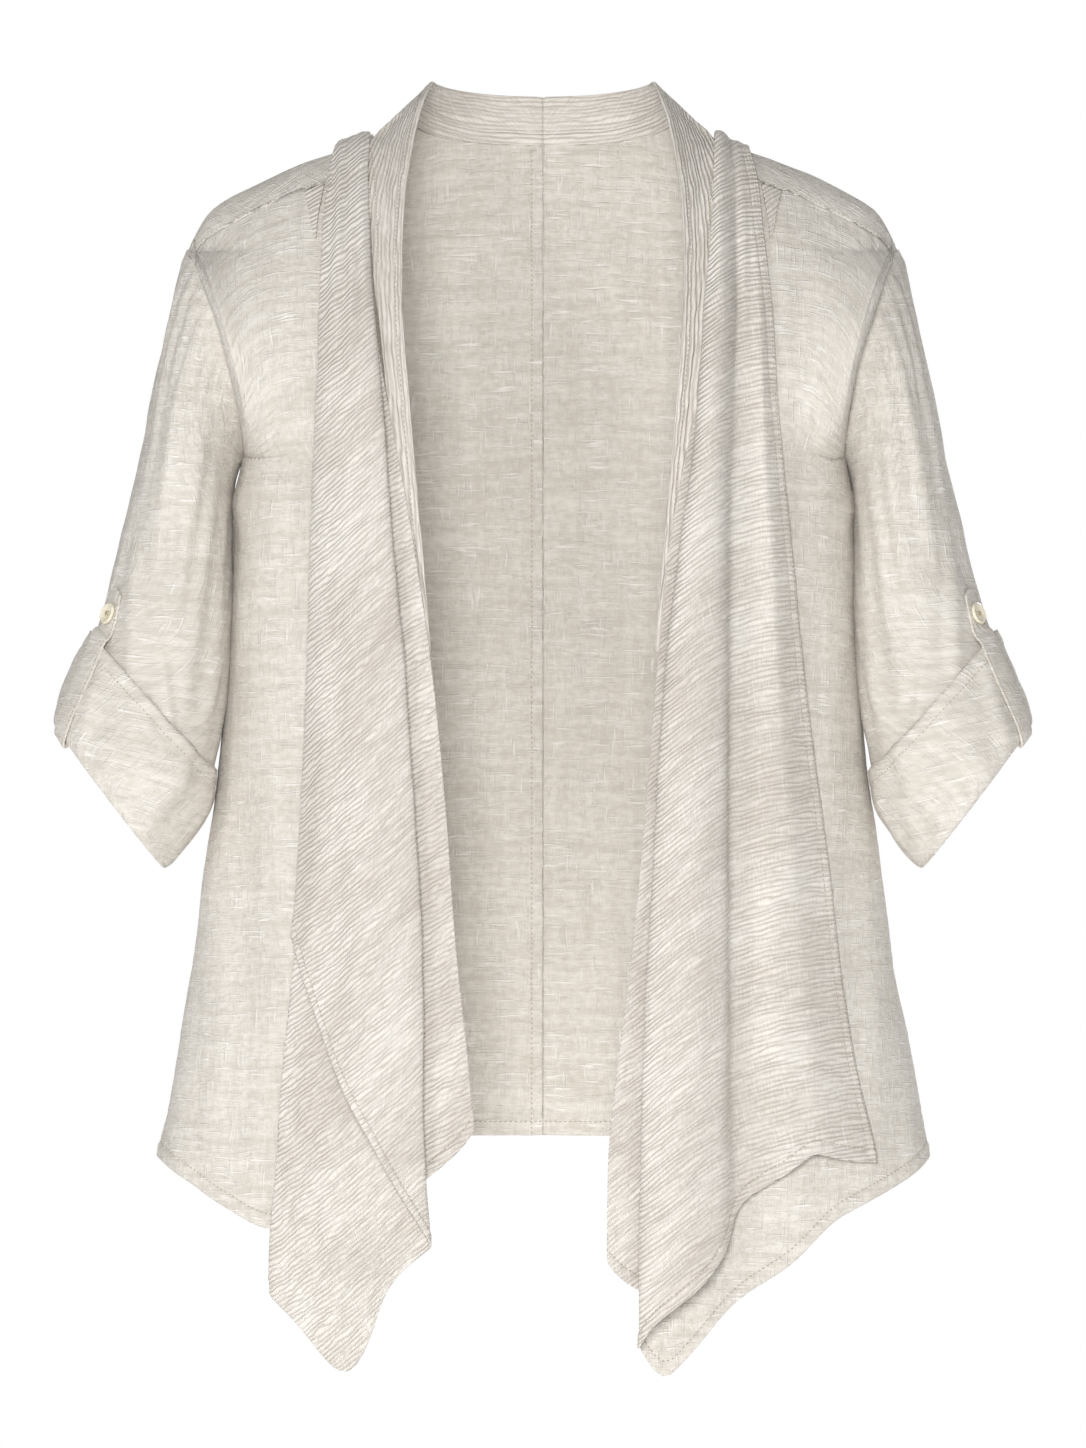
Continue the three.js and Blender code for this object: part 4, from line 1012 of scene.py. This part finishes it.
def round_folds(rows, ring, angle, radius):
    """Height of folds on a tube, at rings and angles in degrees; the width is in millimetres."""
    total = 0
    for angle0, angle1, ring0, ring1, width, height in rows:
        t = (ring - ring0) / (ring1 - ring0)
        middle = mix(angle0, angle1, np.clip(t, 0, 1))
        away = (angle - middle + 180) % 360 - 180
        off = np.radians(away) * radius
        fade = np.sin(math.pi * np.clip(t, 0, 1)) ** 0.7
        total = total + height * fade * fold(off, width, 0.5)
    return total


# %% Make the sleeves and cuffs
ROUND, SLEEVE_ROWS, CUFF_ROWS = 132, 100, 40   # sides round a tube, and rows
CUFF_TURNED_ROW = 25                           # rows past this one lie outside the sleeve
RADIUS = 62         # of the sleeve, for the width of its folds


def sleeve_relief(points, down, across):
    ring = np.linspace(-SLEEVE_TUCK, 10, SLEEVE_ROWS)[:, None]
    angle = round_angles(ROUND)
    from_seam = math.pi - np.abs(angle)
    head = bell(ring, 0.55) * np.clip(np.cos(angle) + 0.25, 0, 1)
    gathers = 0.9 * head * np.sin(angle * 34 + 1.2 * np.sin(angle * 7))
    total = round_folds(SLEEVE_FOLDS, ring, np.degrees(angle), RADIUS) + gathers
    hold = np.clip(ring / 0.25, 0, 1) * np.clip((10 - ring) / 0.8, 0, 1)
    seam = -0.5 * bell(from_seam * RADIUS, 1.2)
    inner = bell(np.degrees(from_seam), 38)
    total = total * (1 - 0.6 * inner) + 2.1 * inner * bell(ring - 6.4, 1.5)   # slack in the crook of the arm
    return hold * (total + crumple(points, 61, 40, 0.5) + crumple(points, 62, 20, 0.15)) + seam


def cuff_relief(points, down, across):
    row = np.linspace(0, 8, CUFF_ROWS)[:, None]
    grow = np.clip((row - 3.5) / 1.5, 0, 1)      # only the turned-up part has relief
    total = round_folds(CUFF_FOLDS, read(CUFF, "row", row, "ring"), np.degrees(round_angles(ROUND)), RADIUS)
    total = total + crumple(points, 64, 30, 0.8) + hem_relief(down[-1:] - down, across, 63, 0.8)
    return grow * (total + 0.3)


for side in SIDES:
    points = mirrored(sleeve_points(ROUND, SLEEVE_ROWS), side)
    add_sheet("sleeve", side, points, points - points.mean(axis=1, keepdims=True), sleeve_relief, closed=True)
    points = mirrored(cuff_points(ROUND, CUFF_ROWS), side)
    turned_up = (np.arange(CUFF_ROWS) > CUFF_TURNED_ROW)[:, None, None]
    away = (points - points.mean(axis=1, keepdims=True)) * turned_up
    add_sheet("cuff", side, points, away, cuff_relief, closed=True)

# %% [markdown]
# ## Roll-up tabs
# A doubled strap with edge stitching, pointed where it is buttoned.

# %% Make the tabs
TAB_ROWS, TAB_OUTER_ROWS = 110, 60      # all, and the first of them, which lie outside
TAB_EDGE = 2.0                          # from the tab's edge to its stitch line


def tab_relief(points, down, across):
    edge = np.minimum(np.minimum(across, across[:, -1:] - across), down)
    return -0.22 * bell(edge - TAB_EDGE, 0.7) + 0.12 * ripple(down, 71) + crumple(points, 72, 26, 0.18)


for side in SIDES:
    points = mirrored(tab_points(20, TAB_ROWS), side)
    inside = mirrored(sleeve_point(7.5, TAB_ANGLE + math.pi, 0), side)
    away = points[:TAB_OUTER_ROWS].mean(axis=(0, 1)) - inside
    reference = away[None, None] * (np.arange(TAB_ROWS) < TAB_OUTER_ROWS)[:, None, None]
    add_sheet("tab", side, points, reference, tab_relief, soften=1)

# %% [markdown]
# ## Buttons
# A turned disc with a raised rim, a dished middle and four holes. The profile is spun, the holes are cut
# with a Boolean, and a cross of thread goes through them.

# %% Make the buttons
HOLE_R, HOLE_OUT, THREAD_R = 0.75, 1.6, 0.42
THREAD_Z, THREAD_RISE, RIM_BEVEL = 1.7, 0.55, 0.12   # height of the thread, its arch, the rim's bevel
BUTTON_PROFILE = [(0, 0), (5.6, 0), (6.7, 0.5), (7.0, 1.2), (6.8, 2.0), (6.1, 2.4), (5.4, 2.3), (4.7, 1.75),
                  (3.4, 1.6), (0, 1.55)]


def button_place(side):
    """Seat and facing of a button, as a matrix in metres."""
    lift = TAB["lift"][0] + STRAP / 2 + SEAM

    def at(ring, angle):
        return mirrored(sleeve_point(ring, angle, lift), side)

    seat = at(BUTTON_RING, TAB_ANGLE)
    along = at(BUTTON_RING + 0.3, TAB_ANGLE) - seat
    facing = np.cross(at(BUTTON_RING, TAB_ANGLE + 0.1) - seat, along) * SIDES[side]
    facing = Vector(facing / np.linalg.norm(facing))
    turn = facing.to_track_quat("Z", "Y").to_matrix().to_4x4()
    return Matrix.Translation((Vector(seat) + facing * SEAM) * MM) @ turn @ Matrix.Scale(MM, 4)


def button_mesh(name, place):
    bm = bmesh.new()
    profile = [bm.verts.new((r, 0, h)) for r, h in BUTTON_PROFILE]
    edges = [bm.edges.new(pair) for pair in zip(profile, profile[1:])]
    bmesh.ops.spin(bm, geom=profile + edges, cent=(0, 0, 0), axis=(0, 0, 1), angle=2 * math.pi, steps=48,
                   use_merge=True)
    bmesh.ops.remove_doubles(bm, verts=bm.verts[:], dist=0.001)
    bmesh.ops.recalc_face_normals(bm, faces=bm.faces[:])
    body = linked(name + "_blank", mesh_of(bm, name))
    cutter = bmesh.new()
    for k in range(4):
        angle = math.pi / 4 + k * math.pi / 2
        move = Matrix.Translation((HOLE_OUT * math.cos(angle), HOLE_OUT * math.sin(angle), 1))
        bmesh.ops.create_cone(cutter, cap_ends=True, segments=20, radius1=HOLE_R, radius2=HOLE_R, depth=6,
                              matrix=move)
    drill = linked(name + "_drill", mesh_of(cutter, name + "_holes"))
    cut = body.modifiers.new("holes", "BOOLEAN")
    cut.object, cut.operation, cut.solver = drill, "DIFFERENCE", "EXACT"
    graph = bpy.context.evaluated_depsgraph_get()
    result = bpy.data.meshes.new_from_object(body.evaluated_get(graph))
    for item in (body, drill):
        bpy.data.objects.remove(item)
    result.transform(place)
    return result


def thread_mesh(name, place):
    bm = bmesh.new()
    for turn in (math.pi / 4, 3 * math.pi / 4):
        for part in np.linspace(-1, 1, 15):
            height = THREAD_Z + THREAD_RISE * (1 - part * part)
            centre = (HOLE_OUT * part * math.cos(turn), HOLE_OUT * part * math.sin(turn), height)
            bmesh.ops.create_icosphere(bm, subdivisions=1, radius=THREAD_R, matrix=Matrix.Translation(centre))
    mesh = mesh_of(bm, name)
    mesh.transform(place)
    return mesh


for side in SIDES:
    place = button_place(side)
    button = finish_piece(f"button_{side}_disc", button_mesh(f"button_{side}", place),
                          MATERIALS["button"], f"button_{side}")
    rim = button.modifiers.new("soft rim", "BEVEL")
    rim.width, rim.segments, rim.limit_method, rim.angle_limit = RIM_BEVEL * MM, 2, "ANGLE", math.radians(50)
    finish_piece(f"button_{side}_thread", thread_mesh(f"button_{side}_thread", place),
                 MATERIALS["button_thread"])
    print(f"button_{side}: {len(button.data.polygons)} faces")

# %% [markdown]
# ## Stitching
# Each stitch is a small flattened ball half sunk in the cloth. A row of them follows a line at an even
# distance from an edge, and the rows of one piece are one mesh.

# %% Stitch rows
STITCH, STITCH_WIDE, STITCH_HIGH, STITCH_PITCH = 2.0, 0.8, 0.42, 3.2   # the height is a half


def at_length(want, arcs, fields):
    """The point or direction at a length along one line."""
    return [np.interp(want, arcs, fields[:, k]) for k in range(3)]


def line_at(sheet, distance, along, face):
    """Points and normals at a distance from an edge: along 'rows' or 'columns', negative from the far edge."""
    points, normal, arcs = sheet["points"], sheet["normal"], sheet["down"]
    if along == "columns":
        points, normal, arcs = points.swapaxes(0, 1), normal.swapaxes(0, 1), sheet["across"].T
    path, up = [], []
    for c in range(points.shape[1]):
        want = distance if distance >= 0 else arcs[-1, c] + distance
        path.append(at_length(want, arcs[:, c], points[:, c]))
        up.append(at_length(want, arcs[:, c], normal[:, c]))
    up = np.array(up) * face
    return np.array(path) + up * sheet["wall"] / 2, up


def stitch_row(bm, path, up, first, last):
    arcs = arc_lengths(path[:, None])[:, 0]
    half = STITCH_PITCH / 2
    for place in np.arange(arcs[-1] * first + half, arcs[-1] * last - half, STITCH_PITCH):
        ends = [Vector(at_length(place + s, arcs, path)) for s in (-0.8, 0.8)]
        normal = Vector(at_length(place, arcs, up)).normalized()
        along = (ends[1] - ends[0]).normalized()
        side = along.cross(normal).normalized()
        turn = Matrix((along, side, along.cross(side))).transposed().to_4x4()
        size = Matrix.Diagonal((STITCH / 2, STITCH_WIDE / 2, STITCH_HIGH, 1))
        centre = Matrix.Scale(MM, 4) @ Matrix.Translation((ends[0] + ends[1]) / 2)
        bmesh.ops.create_icosphere(bm, subdivisions=1, radius=1, matrix=centre @ turn @ size)


# distance from the edge, direction, face, first and last share of the line
STITCHES = {
    "back": [(HEM_WIDTH, "rows", 1, 0, 1), (HEM_WIDTH, "rows", -1, 0, 1), (-1.8, "rows", 1, 0.4, 1)],
    "front": [(HEM_WIDTH, "rows", 1, 0, 1)],
    "drape": [(-HEM_WIDTH, "rows", 1, 0, 1)],
    "collar": [(COLLAR_LINES[0], "columns", 1, 0, 1), (-4, "columns", 1, 0, 0.5)],
    "cuff": [(-HEM_WIDTH, "rows", 1, 0, 1)],
    "tab": [(TAB_EDGE, "columns", 1, 0.02, 0.9), (-TAB_EDGE, "columns", 1, 0.02, 0.9)],
}
ONE_SIDED = {
    "back_left": [(ALLOWANCE - 1, "columns", 1, 0, 1), (ALLOWANCE - 1, "columns", -1, 0, 1)],
    "drape_right": [(1.6, "columns", 1, 0, 1), (6.5, "columns", 1, 0, 1)],
}
for kind, rows in STITCHES.items():
    for side in SIDES:
        node = f"{kind}_{side}"
        bm = bmesh.new()
        for distance, along, face, first, last in rows + ONE_SIDED.get(node, []):
            path, up = line_at(sheets[node], distance, along, face)
            stitch_row(bm, path, up, first, last)
        mesh = mesh_of(bm, f"stitches_{node}")
        finish_piece(f"stitches_{node}", mesh, MATERIALS["thread"])
        print(f"stitches_{node}: {len(mesh.polygons)} faces")

# %% [markdown]
# ## Studio
# A round white floor well below the hem, a soft light near the camera that reaches the inside of the back,
# a weaker one from the upper left that shapes the folds, a faint one from the right, and an even white
# surround. Three more stand behind and at the sides, so that the back can be looked at too.

# %% Floor and lights
FLOOR_Z, FLOOR_R = -0.95, 2.05
SURROUND_LIGHT, SURROUND_SEEN = 0.17, 1.0   # how strongly the white surround lights, and how white it looks
LIT_AT = (0, 0, -0.35)
LIGHTS = (("key", (-3.0, -3.8, 1.7), 1.2, 42), ("front", (-0.3, -5.5, 0.3), 1.5, 220),
          ("fill", (2.8, -4.2, 0.4), 2.0, 8), ("back", (1.6, 5.4, 1.4), 2.4, 190),
          ("left side", (-5.6, 1.4, 0.6), 1.8, 30), ("right side", (5.6, 1.4, 0.6), 1.8, 30))


def make_floor():
    made, shader = new_material("studio paper", 0.95, 0.0)
    shader.inputs["Emission Color"].default_value = (1, 1, 1, 1)
    shader.inputs["Emission Strength"].default_value = 0.5
    x, y, _ = object_parts()
    connect(shader, tint(noise(x * 0.7, y * 0.7), (0.93, 0.93, 0.925, 1), (0.95, 0.95, 0.945, 1)))
    bm = bmesh.new()
    bmesh.ops.create_circle(bm, cap_ends=True, segments=96, radius=FLOOR_R)
    bmesh.ops.translate(bm, verts=bm.verts[:], vec=(0, 0, FLOOR_Z))
    floor = linked("floor", mesh_of(bm, "floor"))
    floor.data.materials.append(made)


make_floor()
for title, place, size, power in LIGHTS:
    lamp = bpy.data.lights.new(title, "AREA")
    lamp.shape, lamp.size, lamp.energy = "DISK", size, power
    light = linked(title, lamp)
    light.location = place
    light.rotation_euler = (Vector(LIT_AT) - Vector(place)).to_track_quat("-Z", "Y").to_euler()
world = bpy.data.worlds.new("surround")
world.use_nodes = True
surround = world.node_tree.nodes["Background"]
surround.inputs["Color"].default_value = (1.0, 1.0, 1.0, 1)
seen = world.node_tree.nodes.new("ShaderNodeLightPath")
strength = world.node_tree.nodes.new("ShaderNodeMapRange")
strength.inputs["To Min"].default_value = SURROUND_LIGHT
strength.inputs["To Max"].default_value = SURROUND_SEEN
world.node_tree.links.new(seen.outputs["Is Camera Ray"], strength.inputs["Value"])
world.node_tree.links.new(strength.outputs["Result"], surround.inputs["Strength"])
bpy.context.scene.world = world
bpy.context.scene.view_settings.view_transform = "Standard"
print("floor at", FLOOR_Z, "m")

# %% [markdown]
# ## Camera
# The photograph is read as taken straight on from far away. Its frame is as high as the lens makes it at the
# jacket: 1448 pixels of 0.625 mm, with the neck 150 pixels below the top edge.

# %% Camera
PIXEL, PHOTO_HIGH, NECK_ROW, DISTANCE, SENSOR = 0.625, 1448, 150, 7.0, 36.0
frame_height = PHOTO_HIGH * PIXEL * MM
centre_z = (NECK_ROW - PHOTO_HIGH / 2) * PIXEL * MM
lens = bpy.data.cameras.new("camera")
lens.lens = SENSOR * DISTANCE / frame_height
lens.sensor_width = SENSOR
lens.clip_end = 60
camera = linked("camera", lens)
camera.location = (0, -DISTANCE, centre_z)
camera.rotation_euler = (math.pi / 2, 0, 0)
bpy.context.scene.camera = camera
print("lens", round(lens.lens), "mm, frame", round(frame_height, 3), "m high")

# %% [markdown]
# ## Finish
# The view layer is brought up to date.

# %% Finish
bpy.context.view_layer.update()
